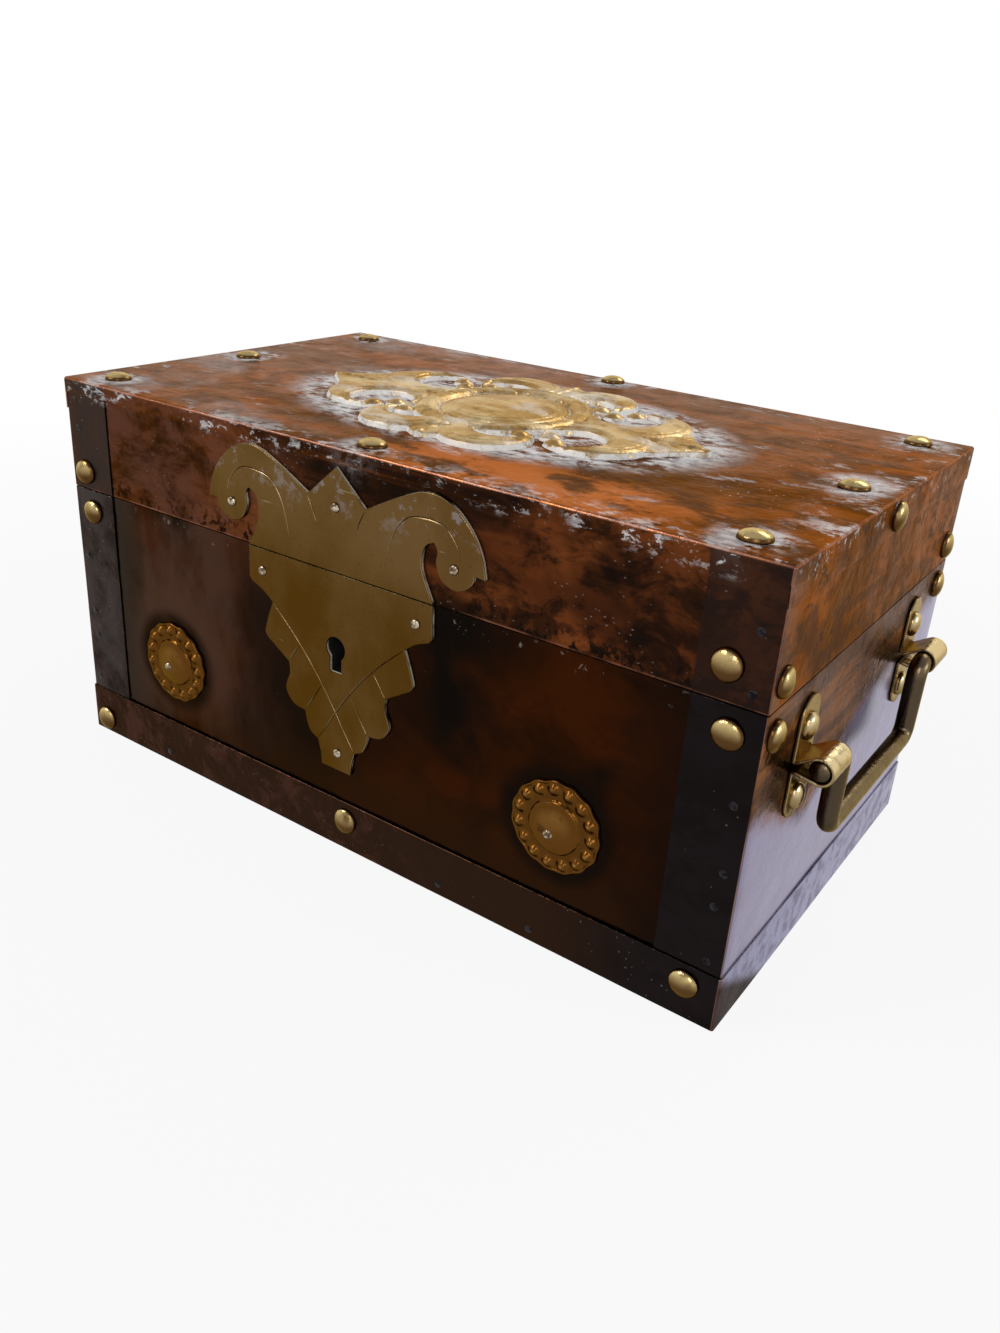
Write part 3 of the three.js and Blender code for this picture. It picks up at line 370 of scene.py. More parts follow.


# The end sheets are bent round the box's corners and lap over the front and back, and a band runs
# round the foot. They are blacker than the front. Low on the ends a lilac colour is a painted
# reflection under a glassy film. The front lower corners of the ends carry painted shade, the left
# laps a lighter grey that is partly a painted reflection, and the band's top edge a pale painted line.
SHEET, BEND, BEND_POINTS, EDGE_EASING, SHARP = 0.0006, 0.0011, 6, 0.00018, 38
WAVE_STEP, SWELL = 0.006, 0.00008
DIAGONAL, BAND_TOP, END_FACE = (0.75, 0.0, 0.0), 0.0240, (0.1768, 0.1773)
BAND_FACE, BAND_RIGHT, BAND_LEFT, GREY_LAP = (0.1024, 0.1027), (0.150, 0.100), (0.06, -0.02), (-0.14, -0.16)
VALLEY_AT, VALLEY_SLOPE, VALLEY_FLOOR, VALLEY_EDGE = -0.045, 0.36, 0.070, (-0.004, 0.010)
CORNER_SLOPE, CORNER_EDGE, BARE_BEND = 0.55, (-0.030, -0.038), (0.0006, 0.00035)
INK, SLATE, ROSE = (0.0066, 0.0050, 0.0048), (0.0120, 0.0088, 0.0092), (0.13, 0.050, 0.038)
LEAD_AND_SHEEN, END_BROWN, END_TAN = (0.048, 0.041, 0.039), (0.050, 0.024, 0.013), (0.240, 0.095, 0.030)
LILAC_REFLECTION, BAND_LILAC_REFLECTION, BARE = (0.070, 0.050, 0.080), (0.030, 0.042, 0.130), (0.30, 0.16, 0.12)
FOOT_BROWN, BAND_RIM_LIGHT = (0.024, 0.0115, 0.0065), (0.16, 0.155, 0.19)
END_EDGE_TINT, CORNER_SHADE = (0.68, 0.59, 0.55), (0.022, 0.016, 0.014)


def rounded_ring(half_x, half_y, radius, step):
    """Places and outward directions round a rectangle, its corners quarter circles of a radius and
    its straight sides cut at even steps."""
    places, normals = [], []
    for corner in range(4):
        turn = np.linspace(corner, corner + 1, BEND_POINTS) * math.pi / 2
        middle = (corner + 0.5) * math.pi / 2
        centre = np.sign([math.cos(middle), math.sin(middle)]) * [half_x - radius, half_y - radius]
        outward = np.stack([np.cos(turn), np.sin(turn)], -1)
        side = 2 * (half_y if corner % 2 else half_x) - 2 * radius
        inside = np.linspace(0, side, int(side / step) + 2)[1:-1, None]
        ahead = np.array([-outward[-1][1], outward[-1][0]])
        places += [centre + radius * outward, centre + radius * outward[-1] + inside * ahead]
        normals += [outward, np.repeat(outward[-1:], len(inside), 0)]
    return np.concatenate(places), np.concatenate(normals)


def slow_waves(a, b, seed):
    """Low waves over two places in metres: a sum of five sines whose directions, lengths and phases
    are drawn from the seed, between about -1 and 1."""
    draw = np.random.default_rng(seed)
    turns, rates, phases = draw.uniform(0, math.pi, 5), draw.uniform(40, 110, 5), draw.uniform(0, 6, 5)
    waves = [np.sin(r * (a * math.cos(t) + b * math.sin(t)) + p) for t, r, p in zip(turns, rates, phases)]
    return sum(waves) / 3


def metal(name, points, faces, sharp=SHARP):
    """A mesh of points and faces, its doubles merged, its faces turned outwards, smooth but for its
    edges over the sharp angle. It keeps how far each point looks up, the height of its normal."""
    mesh = bpy.data.meshes.new(name)
    mesh.from_pydata(np.asarray(points).tolist(), [], faces)
    work = bmesh.new()
    work.from_mesh(mesh)
    bmesh.ops.remove_doubles(work, verts=work.verts, dist=1e-6)
    bmesh.ops.dissolve_degenerate(work, edges=work.edges, dist=1e-7)
    bmesh.ops.recalc_face_normals(work, faces=work.faces)
    work.to_mesh(mesh)
    work.free()
    mesh.shade_smooth()
    mesh.set_sharp_from_angle(angle=math.radians(sharp))
    normals = np.empty(3 * len(mesh.vertices), np.float32)
    mesh.vertices.foreach_get("normal", normals)
    mesh.attributes.new("upward", "FLOAT", "POINT").data.foreach_set("value", normals[2::3].copy())
    return mesh


def grid(points, round_rows=False, round_columns=False, lids=None):
    """The points and faces of a surface over rows and columns of points, with a quad between each
    four neighbours. A round direction joins its last line to its first, and lids names the lines,
    rows or columns, whose first and last become faces."""
    index = np.arange(points.shape[0] * points.shape[1]).reshape(points.shape[:2])
    ends = {"rows": (index[0], index[-1]), "columns": (index[:, 0], index[:, -1]), None: ()}[lids]
    if round_rows:
        index = np.vstack([index, index[:1]])
    if round_columns:
        index = np.hstack([index, index[:, :1]])
    quads = np.stack([index[:-1, :-1], index[:-1, 1:], index[1:, 1:], index[1:, :-1]], -1)
    return points.reshape(-1, 3), quads.reshape(-1, 4).tolist() + [line.tolist() for line in ends]


def joined(*shells):
    """The points and faces of several shells as one."""
    points, faces, start = [], [], 0
    for shell_points, shell_faces in shells:
        points.append(shell_points)
        faces += [[corner + start for corner in face] for face in shell_faces]
        start += len(shell_points)
    return np.concatenate(points), faces


def tube(rows):
    """The points and faces of a closed shell over rows of points that go round it."""
    return grid(rows, round_columns=True, lids="rows")


def fit(name, shell, finish, body, slot, *nodes, sharp=SHARP):
    """Makes a piece of a shell, with its finish, that rides on a body and stands for CAD nodes."""
    mesh = metal(name, *shell, sharp)
    piece = bpy.data.objects.new(name, mesh)
    mesh.materials.append(finish)
    bpy.context.scene.collection.objects.link(piece)
    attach(piece, body)
    if nodes:
        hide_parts(*nodes)


def upright_section(low, high):
    """The section of an upright sheet as offsets from its outer face and heights: a thin rectangle
    whose outer edges are eased, and whose face is cut at even steps."""
    face = np.linspace(low + EDGE_EASING, high - EDGE_EASING, max(2, int((high - low) / WAVE_STEP)))
    rim = [(-SHEET, low), (-EDGE_EASING, low)], [(-EDGE_EASING, high), (-SHEET, high)]
    return np.array([*rim[0], *((0.0, z) for z in face), *rim[1]])


def lengths(line):
    """The length of a line of points from its start up to each of them."""
    return np.concatenate([[0], np.cumsum(np.linalg.norm(np.diff(line, axis=0), axis=1))])


def carried(places, normals, section, seed):
    """A section carried along a level path: each point is its place, plus its offset times the
    path's outward direction, at its height. Slow waves swell its outer face."""
    offset = np.broadcast_to(section[..., 0], (len(places), section.shape[-2]))
    height = np.broadcast_to(section[..., 1], offset.shape)
    waves = SWELL * slow_waves(lengths(places)[:, None], height, seed) * (offset > offset.min() / 2)
    flat = places[:, None, :] + normals[:, None, :] * (offset + waves)[..., None]
    return np.concatenate([flat, height[..., None]], -1)


def corner_line(along, out, inner, outer):
    """One along the middle of the bends at the box's upright corners, between two depths in them."""
    far_x, far_y = at("right_end_sheet")[1][:2]
    at_end = abs(along).between(far_x - inner, far_x - outer)
    return at_end * abs(out).between(far_y - inner, far_y - outer)


def end_copper():
    """The finish of the end sheets: black on the laps, brown above on the end faces, and a painted lilac
    reflection below. The reflection's edge is a valley in height over the distance from a line on the face."""
    material, place, colour, blotches = patina("end_copper", INK, SLATE, SLATE, 0.0, 0.4)
    along, out, rise = place.axes()
    haze = place.stretched(shift=(1.0, 3.0, 0.0)).noise(26.0, 5.0, 0.6)
    on_band = rise.between(BAND_TOP + 0.0006, BAND_TOP) * abs(out).between(*BAND_FACE)
    ruddy = place.noise(58.0, 6.0, 0.7, 0.5).between(0.50, 0.62) * along.between(*BAND_LEFT)
    on_end = abs(along).between(*END_FACE)
    brushed = strokes(place, DIAGONAL, 46.0, 1) * 0.6 + strokes(place, DIAGONAL, 130.0, 1) * 0.4
    tan = (brushed * 0.7 + haze * 0.6).between(0.20, 0.68).tint(END_BROWN, END_TAN)
    valley = abs(out - VALLEY_AT) * VALLEY_SLOPE + VALLEY_FLOOR + (haze - 0.5) * 0.03
    below = (valley - rise).between(*VALLEY_EDGE)
    # The front lower corner of each end face gets painted shade, in its colour and as dull soil.
    corner = (rise + CORNER_SLOPE * out).between(*CORNER_EDGE)
    cover = below * on_end * (1 - corner * 0.9) * along.between(-0.45, 0.15)
    low_down = rise.between(BAND_TOP + 0.0005, BAND_TOP - 0.0005)
    # The lilac is a painted reflection; the same mask lays a glassy coat over it.
    painted_reflection_and_film = cover * haze.between(0.10, 0.42)
    speckle = place.noise(240.0, 5.0, 0.7).between(0.56, 0.66) * (low_down * 0.45 + 0.12)
    specks = place.cells(300.0).between(0.16, 0.07) * place.noise(40.0, 3.0).between(0.50, 0.62)
    rubbed = corner_line(along, out, *BARE_BEND) * place.noise(45.0, 4.0).between(0.30, 0.55)
    colour = colour.under(
        # The left laps' lighter grey is partly a painted reflection.
        (along.between(*GREY_LAP) * haze.between(0.30, 0.56), LEAD_AND_SHEEN),
        (on_band * along.between(*BAND_RIGHT), FOOT_BROWN),
        (ruddy * on_band * 0.22, ROSE),
        (on_end, tan),
        (corner * on_end * 0.9, CORNER_SHADE),
        (painted_reflection_and_film, low_down.tint(LILAC_REFLECTION, BAND_LILAC_REFLECTION)),
        # A pale painted line lightens the shadow along the band's top edge.
        (rise.near(BAND_TOP, 0.0009) * on_end * 0.9, BAND_RIM_LIGHT),
        (speckle * cover, INK),
        (specks * 0.3, DUST),
        (rubbed * 0.6, BARE),
    )
    gloss = blotches * 0.24 + 0.13 + cover * 0.1
    lumps = place.stretched(shift=(7.0, 0.0, 2.0)).noise(95.0, 2.0, 0.5, 1.5)
    relief = dents(place) + lumps * (along.between(-0.10, -0.15) * 0.16 + 0.08)
    soil = place.noise(70.0, 5.0, 0.68, 0.5).between(0.55, 0.66) * (1 - below) * 0.5
    mottle = place.noise(150.0, 4.0, 0.62).between(0.44, 0.64) * 0.36 + 0.06
    # At the front lower corners the dull soil is painted shade.
    soil = soil.most(corner * 0.75, mottle * low_down * below) * on_end
    coat_with(place, colour, gloss, 1.0, relief, DENT_DEPTH, END_EDGE_TINT, soil, painted_reflection_and_film)
    return material


def lap_sheet(node, finish, body, seed):
    """A bent sheet: the upright section carried from one lap's edge to the other, round two corners."""
    low, high, middle = at(node)
    lap_edge, far = sorted((abs(low[0]), abs(high[0])))
    places, normals = rounded_ring(far, high[1], BEND, WAVE_STEP)
    kept = places[:, 0] > lap_edge
    places, normals = places[kept], normals[kept]
    first = np.argmax(np.linalg.norm(np.diff(places, axis=0), axis=1)) + 1
    places, normals = np.roll(places, -first, 0), np.roll(normals, -first, 0)
    places = np.concatenate([[[lap_edge, -high[1]]], places, [[lap_edge, high[1]]]])
    normals = np.concatenate([normals[:1], normals, normals[-1:]])
    points = carried(places, normals, upright_section(low[2], high[2]), seed)
    points *= (np.sign(middle[0]), 1, 1)
    fit(node + "_bent", tube(points), finish, body, "end_copper", node)


end_finish = end_copper()
lap_sheet("right_end_sheet", end_finish, "box", 3)
lap_sheet("left_end_sheet", end_finish, "box", 4)
band_low, band_high = at("base_band")[:2]
band_places, band_normals = rounded_ring(band_high[0], band_high[1], BEND, WAVE_STEP)
band_points = carried(band_places, band_normals, upright_section(band_low[2], band_high[2]), 5)
fit("base_band_bent", grid(band_points, True, True), end_finish, "box", "end_copper", "base_band")


# The lid's copper is warmer and more worn than the body's: russet with black stains, orange where
# it is rubbed, and white polish dried along its edges. A brighter orange patch on the top near the
# front is painted sunlight, and the left lap's grey is partly a painted reflection. The top sheet
# is turned down all round.
RUST_DARK, RUST, ORANGE = (0.009, 0.0050, 0.0036), (0.072, 0.0195, 0.0062), (0.215, 0.060, 0.015)
POLISH, OLD_POLISH = (0.88, 0.88, 0.87), (0.42, 0.42, 0.45)
PLUM, SUNLIT_ORANGE = (0.092, 0.038, 0.026), (0.56, 0.185, 0.060)
LAP_BROWN, LAP_GREY_SHEEN, GREY_EDGE = (0.0185, 0.0105, 0.0085), (0.026, 0.025, 0.026), (0.20, 0.15, 0.13)
ORANGE_EDGE, BARE_ORANGE = (0.95, 0.60, 0.43), (0.36, 0.15, 0.085)
CRUSTED_STUDS = (0.1577, 0.0875, 0.019), (0.1609, 0.0036, 0.018), (0.0, 0.0935, 0.018)
STUD_RIM, CAP_FACE_CUTS, BARE_LID_BEND = 0.006, (0.05, 0.475, 0.9), (0.0006, 0.0003)
SUNNY_LEFT, SUNNY_RIGHT, SUNNY_OUT = (-0.02, 0.03), (0.155, 0.10), (-0.052, -0.078)
PLUM_ALONG, GREY_OUT = (-0.01, -0.09), (-0.082, -0.102)
SPECKED_UP, LID_LAPS = (0.146, 0.133), (0.1492, 0.1502)
ORNAMENT_STRETCH, ORNAMENT_SHIFT, ORNAMENT_REACH = (1.0, 1.58, 1.0), (-0.002, 0.0064, 0.0), (0.120, 0.094)
RIM_ALONG, RIM_OUT, UNDER_RIM, HEM = (0.150, 0.178), (0.085, 0.103), (0.1715, 0.1785), (0.1320, 0.1313)
ARRIS_ALONG, ARRIS_OUT = (0.1770, 0.1776), (0.1020, 0.1026)
CAP_END_DROP, CAP_SIDE_DROP, ARRIS_BEND, ARRIS_STEPS = 0.0145, 0.0065, 0.0012, 5


def lid_copper():
    """The finish of the lid's sheets. White polish lies in rings round the studs and the ornament,
    and under the turned edge, wherever a cloud and a fine grain over it allow."""
    material, place, colour, blotches = patina("russet_copper", RUST_DARK, RUST, ORANGE, 0.62, 0.85)
    along, out, rise = place.axes()
    top = at("lid_cap_sheet")[1][2]
    on_top = rise.between(top - ARRIS_BEND, top - ARRIS_BEND / 3)
    on_end = abs(along).between(*END_FACE) * (1 - on_top)
    on_side = (1 - on_top) * (1 - on_end)
    stains = place.stretched((1.0, 1.6, 1.6), shift=(4.0, 1.0, 7.0)).noise(38.0, 8.0, 0.66, 0.4)
    brushed = (strokes(place, (0.0, 0.0, 0.35), 70.0) * on_top).most(
        strokes(place, DIAGONAL, 55.0, 1) * on_end,
        strokes(place, (0.0, 0.3, 0.0), 110.0) * on_side * 0.35,
    )
    # A patch of painted sunlight on the top, towards the front, right of the middle.
    painted_sunlight = on_top * along.between(*SUNNY_LEFT) * along.between(*SUNNY_RIGHT) * out.between(*SUNNY_OUT)
    plum = on_side * along.between(*PLUM_ALONG) * stains.between(0.70, 0.36)
    worn_dark = stains + (strokes(place, DIAGONAL, 80.0, 1) * 0.12 - 0.01) * on_end
    worn_dark = worn_dark.between(0.47, 0.62) * (0.62 + on_side * along.between(-0.05, 0.03) * 0.2)
    blots = place.noise(105.0, 5.0, 0.7, 0.4).between(0.54, 0.66) * on_end
    grey_edge = on_end * out.between(*GREY_OUT) * blotches.between(0.34, 0.60)
    low_specks = rise.between(*SPECKED_UP) * place.noise(210.0, 5.0, 0.7).between(0.50, 0.58)
    on_left = along.between(0.0, -0.01)
    laps = abs(along).between(*LID_LAPS) * (0.8 + on_left * 0.18) * on_side
    colour = colour.under(
        (brushed * 0.62, ORANGE),
        (painted_sunlight * stains.between(0.62, 0.44) * 0.75, SUNLIT_ORANGE),
        (plum * 0.9, PLUM),
        (worn_dark, RUST_DARK),
        (blots * 0.8, RUST_DARK),
        (grey_edge * 0.6, GREY_EDGE),
        (low_specks * on_side, RUST_DARK),
        # The left lap's lighter grey is partly a painted reflection.
        (laps, on_left.tint(LAP_BROWN, LAP_GREY_SHEEN)),
    )
    folded = place.node("ShaderNodeVectorMath", {"operation": "ABSOLUTE"}, {0: place})
    rings = [folded.far_from((x, y, top)).between(reach, STUD_RIM) for x, y, reach in CRUSTED_STUDS]
    round_studs = rings[0].most(*rings[1:])
    ornament = place.stretched(ORNAMENT_STRETCH, shift=ORNAMENT_SHIFT)
    round_ornament = ornament.far_from((0.0, 0.0, top)).between(*ORNAMENT_REACH) * on_top
    rims = abs(along).between(*RIM_ALONG).most(abs(out).between(*RIM_OUT)) * on_top
    under_rim = rise.between(*UNDER_RIM) * (1 - on_top)
    lean = place.stretched(shift=(5.0, 2.0, 0.0)).noise(42.0, 6.0, 0.68, 0.4)
    fine = place.stretched((0.6, 1.0, 1.0)).noise(300.0, 4.0, 0.7)
    grain = lean * 0.68 + fine * 0.32
    clots = place.stretched((0.6, 1.0, 1.0), shift=(1.0, 9.0, 4.0)).noise(230.0, 6.0, 0.72, 0.3)
    strewn = place.stretched((0.6, 1.0, 1.0)).cells(420.0).between(0.16, 0.06) * lean.between(0.48, 0.60)
    drifts = place.stretched((0.5, 1.0, 1.0), shift=(8.0, 1.0, 3.0)).noise(60.0, 6.0, 0.7)
    film = place.stretched(shift=(6.0, 6.0, 0.0)).noise(20.0, 4.0, 0.6).between(0.46, 0.62)
    white = (round_studs * (on_top * 0.75 + 0.15)).most(round_ornament) * grain.between(0.42, 0.53)
    white = white.most(
        rims * grain.between(0.50, 0.59) * 0.7,
        under_rim * clots.between(0.56, 0.62) * lean.between(0.40, 0.54) * 0.8,
        strewn * (on_top * 0.6 + 0.15),
        drifts.between(0.58, 0.68) * on_top * 0.5,
        film * on_top * along.between(0.0, -0.10) * 0.28,
    )
    arris = abs(along).between(*ARRIS_ALONG).most(abs(out).between(*ARRIS_OUT))
    arris = arris * rise.between(top - ARRIS_BEND, top - ARRIS_BEND / 2)
    rubbed = arris.most(corner_line(along, out, *BARE_LID_BEND))
    rubbed = rubbed * place.noise(40.0, 5.0, 0.6).between(0.28, 0.48)
    hem = rise.between(*HEM) * place.noise(30.0, 4.0, 0.6).between(0.42, 0.60)
    colour = colour.under(
        (white * 0.85, fine.between(0.36, 0.62).tint(OLD_POLISH, POLISH)),
        ((rubbed * 0.6).most(hem * 0.5), BARE_ORANGE),
    )
    shine = 1 - (white * 0.85).least(0.8)
    gloss = blotches * 0.25 + 0.2 + white * 0.3
    soil = (worn_dark * (on_top * 0.45)).most(blots * 0.6, worn_dark * on_end * 0.6) * (1 - white)
    coat_with(place, colour, gloss, shine, dents(place), DENT_DEPTH, ORANGE_EDGE, soil)
    return material


lid_finish = lid_copper()
dress(lid_finish, "lid_front_sheet", "lid_back_sheet")
lap_sheet("lid_right_end_sheet", lid_finish, "lid", 6)
lap_sheet("lid_left_end_sheet", lid_finish, "lid", 7)

cap_high = at("lid_cap_sheet")[1]
places, normals = rounded_ring(cap_high[0], cap_high[1], ARRIS_BEND, WAVE_STEP)
drop = np.where(abs(normals[:, 0]) > 0.5, CAP_END_DROP, CAP_SIDE_DROP)
bend = np.linspace(0, math.pi / 2, ARRIS_STEPS + 1)
foot = cap_high[2] - drop[:, None]
face = foot + (drop[:, None] - ARRIS_BEND) * np.array(CAP_FACE_CUTS)
offsets = np.concatenate([[-SHEET, -SHEET, -EDGE_EASING, 0, 0, 0], ARRIS_BEND * (np.cos(bend) - 1)])
heights = np.concatenate([
    np.full_like(foot, cap_high[2] - SHEET), foot, foot, face,
    cap_high[2] - ARRIS_BEND * (1 - np.sin(bend)) + 0 * foot,
], 1)
section = np.stack([np.broadcast_to(offsets, heights.shape), heights], -1)
cap = grid(carried(places, normals, section, 8), round_rows=True, lids="columns")
fit("lid_cap_bent", cap, lid_finish, "lid", "lid_copper", "lid_cap_sheet")

# Twenty-five brass upholstery nails with high domed heads hold the sheets to the boards. Their
# heads are polished on top, dark round the rim, and a little battered. Their colour is painted
# lighter where they look up and darker where they look down: painted highlight and painted shade.
BRASS, BRASS_WORN_LIT, BRASS_GRIME_SHADE = (0.090, 0.044, 0.015), (0.66, 0.50, 0.22), (0.034, 0.016, 0.006)
BRASS_EDGE = (0.85, 0.72, 0.50)
STUD_RADIUS, STUD_HEIGHT, STUD_SIDES, STUD_RINGS, STUD_BATTER = 0.006, 0.0033, 28, 9, 0.12
FACES_AT, RIM_SHARE, CROWN_SHARE = (0.1774, 0.1024, 0.1825), 0.1, 0.04


def skyward(place):
    """How far a face looks up at a place: one for a level face, minus one for one turned down."""
    return place.node("ShaderNodeAttribute", {"attribute_name": "upward"}, {}, 2)


def brass(name, colour, worn_lit, grime_and_shade, rough, low, high, above):
    """A finish of old brass, clouded and pitted: rubbed bright where it stands high, with a painted
    highlight where it looks up, dirty at its foot, and with painted shade where it looks down. Above
    works out the height over the foot from a place's axes."""
    material, place = new_finish(name)
    stand, up = above(*place.axes()), skyward(place)
    clouds = place.noise(120.0, 4.0, 0.6)
    pits = place.noise(800.0, 4.0, 0.65)
    # The crown's light colour is rubbing where it stands high and a painted highlight where it looks up.
    crown = stand.between(low, 0.6 * low + 0.4 * high) * up.between(-0.15, 0.60)
    # Its foot is dirty, and faces turned down get painted shade.
    foot = stand.between(0.55 * low, 0.0).most(up.between(-0.05, -0.80) * 0.75)
    dirt_and_shade = foot.most(clouds.between(0.60, 0.74) * 0.5, pits.between(0.62, 0.74) * 0.35)
    tone = (crown * clouds.between(0.20, 0.56)).tint(colour, worn_lit).under((dirt_and_shade, grime_and_shade))
    relief = clouds * 0.85 + pits * 0.15
    coat_with(place, tone, clouds * 0.2 + foot * 0.2 + rough - 0.1, 1.0, relief, 0.0006, BRASS_EDGE)
    return material


def turned(profile, sides, middle, outward, batter=0.0, seed=0):
    """The points and faces of a solid of revolution about an outward direction: a profile of radii
    and heights, from a flat foot to a top on the axis. Batter tilts and swells it, by chance."""
    outward = np.array(outward, float)
    across = np.cross(outward, (0.0, 0.0, 1.0) if abs(outward[2]) < 0.5 else (1.0, 0.0, 0.0))
    above = np.cross(outward, across)
    draw = np.random.default_rng(seed)
    turn = np.linspace(0, 2 * math.pi, sides, endpoint=False)
    profile = np.array(profile)
    lean, swell = draw.uniform(-batter, batter, 2), draw.uniform(-batter, batter, 2)
    out = profile[:, :1] * (1 + 0.3 * swell[0] * np.cos(2 * turn + 9 * lean[0]))
    flat_x, flat_y = out * np.cos(turn), out * np.sin(turn)
    tilt = 1 + (lean[0] * flat_x + lean[1] * flat_y) / profile[:, 0].max()
    rise = profile[:, 1:] * (1 - abs(swell[1])) * tilt
    flat = flat_x[..., None] * across + flat_y[..., None] * above
    return tube(middle + flat + rise[..., None] * outward)


def dome(radius, height, rings):
    """The profile of a domed head: its foot, a short upright rim, and an arc that rises to the crown
    as the sine of a turn."""
    turn = np.linspace(0, math.pi / 2, rings)
    rim = RIM_SHARE * height
    arc = [(radius * math.cos(t), rim + (height - rim) * math.sin(t)) for t in turn[:-1]]
    return [(radius, 0.0), *arc, (radius * CROWN_SHARE, height)]


def over_sheets(along, out, rise):
    """How far a place stands over the nearest face of the box's end sheets, laps or lid."""
    return (abs(along) - FACES_AT[0]).most(abs(out) - FACES_AT[1], rise - FACES_AT[2])


stud_finish = brass("polished_brass", BRASS, BRASS_WORN_LIT, BRASS_GRIME_SHADE, 0.17, 0.0012, 0.0032, over_sheets)
directions = {"top": (0, 0, 1), "left": (-1, 0, 0), "right": (1, 0, 0), "front": (0, -1, 0)}
stud_nodes = [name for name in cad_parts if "_stud" in name]
for number, node in enumerate(stud_nodes):
    low, high, middle = at(node)
    side = next(side for side in directions if "_" + side in "_" + node.split("_stud")[0])
    outward = np.array(directions[side])
    head = np.where(outward > 0, high, np.where(outward < 0, low, middle)) - STUD_HEIGHT * outward
    profile = dome(STUD_RADIUS, STUD_HEIGHT, STUD_RINGS)
    shell = turned(profile, STUD_SIDES, head, outward, STUD_BATTER, number)
    fit(node + "_head", shell, stud_finish, "lid" if node.startswith("lid") else "box", "brass", node)


# Small flat nails of a grey metal also hold the laps and the foot band, on the front and the back.
# Each is hammered nearly flush, and as dark as the copper round it.
PEWTER, PEWTER_DARK = (0.026, 0.024, 0.026), (0.009, 0.008, 0.009)
TACK_RADIUS, TACK_HEIGHT, TACK_RINGS, TACK_SIDES, TACK_BATTER = 0.0017, 0.0004, 4, 14, 0.2
LAP_TACK_X, LAP_TACK_SLIP = 0.1712, 0.0012
BODY_TACK_HEIGHTS, LID_TACK_HEIGHTS = (0.0295, 0.0533, 0.0662, 0.0955), (0.1373, 0.1590)
BAND_TACK_HEIGHT, BAND_TACKS = 0.0054, (-0.120, 0.050, 0.096)

tack_finish, place = new_finish("pewter")
tack_cloud = place.noise(500.0, 3.0)
tone = tack_cloud.between(0.4, 0.62).tint(PEWTER, PEWTER_DARK)
coat_with(place, tone, tack_cloud * 0.4 + 0.2, 1.0, tack_cloud, 0.0004)


def tacks(name, body, places):
    """One piece of many tacks, from the middle of each one's foot and its outward direction."""
    head = dome(TACK_RADIUS, TACK_HEIGHT, TACK_RINGS)
    shells = [turned(head, TACK_SIDES, *place, TACK_BATTER, seed) for seed, place in enumerate(places)]
    fit(name, joined(*shells), tack_finish, body, "iron")


def lap_tacks(sheet, heights):
    """The places of tacks up the laps of both ends, on the front and the back."""
    lap_y = at(sheet)[1][1]
    wander = np.random.default_rng(12)
    rows = []
    for height, side, face in itertools.product(heights, (-1, 1), (-1, 1)):
        slip = wander.uniform(-LAP_TACK_SLIP, LAP_TACK_SLIP, 2)
        foot = np.array((side * LAP_TACK_X + slip[0], face * lap_y, height + slip[1]))
        rows.append((foot, (0, face, 0)))
    return rows


body_tacks = lap_tacks("right_end_sheet", BODY_TACK_HEIGHTS)
for face in (-1, 1):
    band_feet = [np.array((x, face * band_high[1], BAND_TACK_HEIGHT)) for x in BAND_TACKS]
    body_tacks += [(foot, (0, face, 0)) for foot in band_feet]
tacks("body_tacks", "box", body_tacks)
tacks("lid_tacks", "lid", lap_tacks("lid_right_end_sheet", LID_TACK_HEIGHTS))

# The lock plates are cut from sheet brass with a fretsaw, and their scrolls and leaves are engraved.
# Round-headed pins hold the upper one to the lid, and the lower one with the keyhole to the body.
PLATE_SHIFT, PLATE_THICKNESS, PLATE_EASING, PLATE_SHARP = KEYHOLE[0], 0.0015, 0.0003, 25
PLATE_HALF_WIDTH, SCROLL_REACH, PLATE_RISE, PLATE_DROP = 0.0496, 0.0734, 0.0440, 0.0915
SEAM_LOW, SEAM_HIGH, MOUNT_GAP = 0.1306, 0.1311, 0.00002
GROOVE_DEPTH, GROOVE_HALF_WIDTH, GROOVE_TIP, GROOVE_STEPS = 0.00038, 0.00042, 0.12, 7
PIN_RADIUS, PIN_HEIGHT, PIN_RINGS, PIN_SIDES, PIN_BATTER = 0.0022, 0.0015, 6, 20, 0.15
KEY_RADIUS, KEY_SLOT_HALF, KEY_SLOT_DROP, KEY_DROP, KEY_POINTS = 0.0053, 0.0033, 0.0112, 0.0334, 40
HOOK_INNER = [(0.602, 0.273), (0.595, 0.425), (0.617, 0.527), (0.67, 0.573)]
HOOK_CURL = [
    (0.67, 0.573), (0.692, 0.507), (0.687, 0.389), (0.728, 0.255), (0.824, 0.2), (0.916, 0.295),
    (0.932, 0.386),
]
HOOK_OUTER = [
    (1, 0.375), (0.971, 0.568), (0.905, 0.759), (0.79, 0.932), (0.647, 1), (0.49, 0.932), (0.206, 0.691),
]
SHOULDER = [(0.978, -0.176), (0.85, -0.205), (0.735, -0.247)]
LOBES = [
    [(0.735, -0.247), (0.806, -0.352), (0.826, -0.421), (0.706, -0.47), (0.552, -0.523)],
    [(0.552, -0.523), (0.544, -0.58), (0.593, -0.667), (0.505, -0.735), (0.363, -0.75)],
    [(0.363, -0.75), (0.343, -0.8), (0.3, -0.847), (0.212, -0.874)],
]
UPPER_LINES = [
    [(0.35, 0.22), (0.4, 0.53), (0.488, 0.72), (0.62, 0.77), (0.742, 0.738), (0.82, 0.6), (0.84, 0.48)],
    [(0.206, 0.67), (0.172, 0.568), (0.145, 0.45)],
]
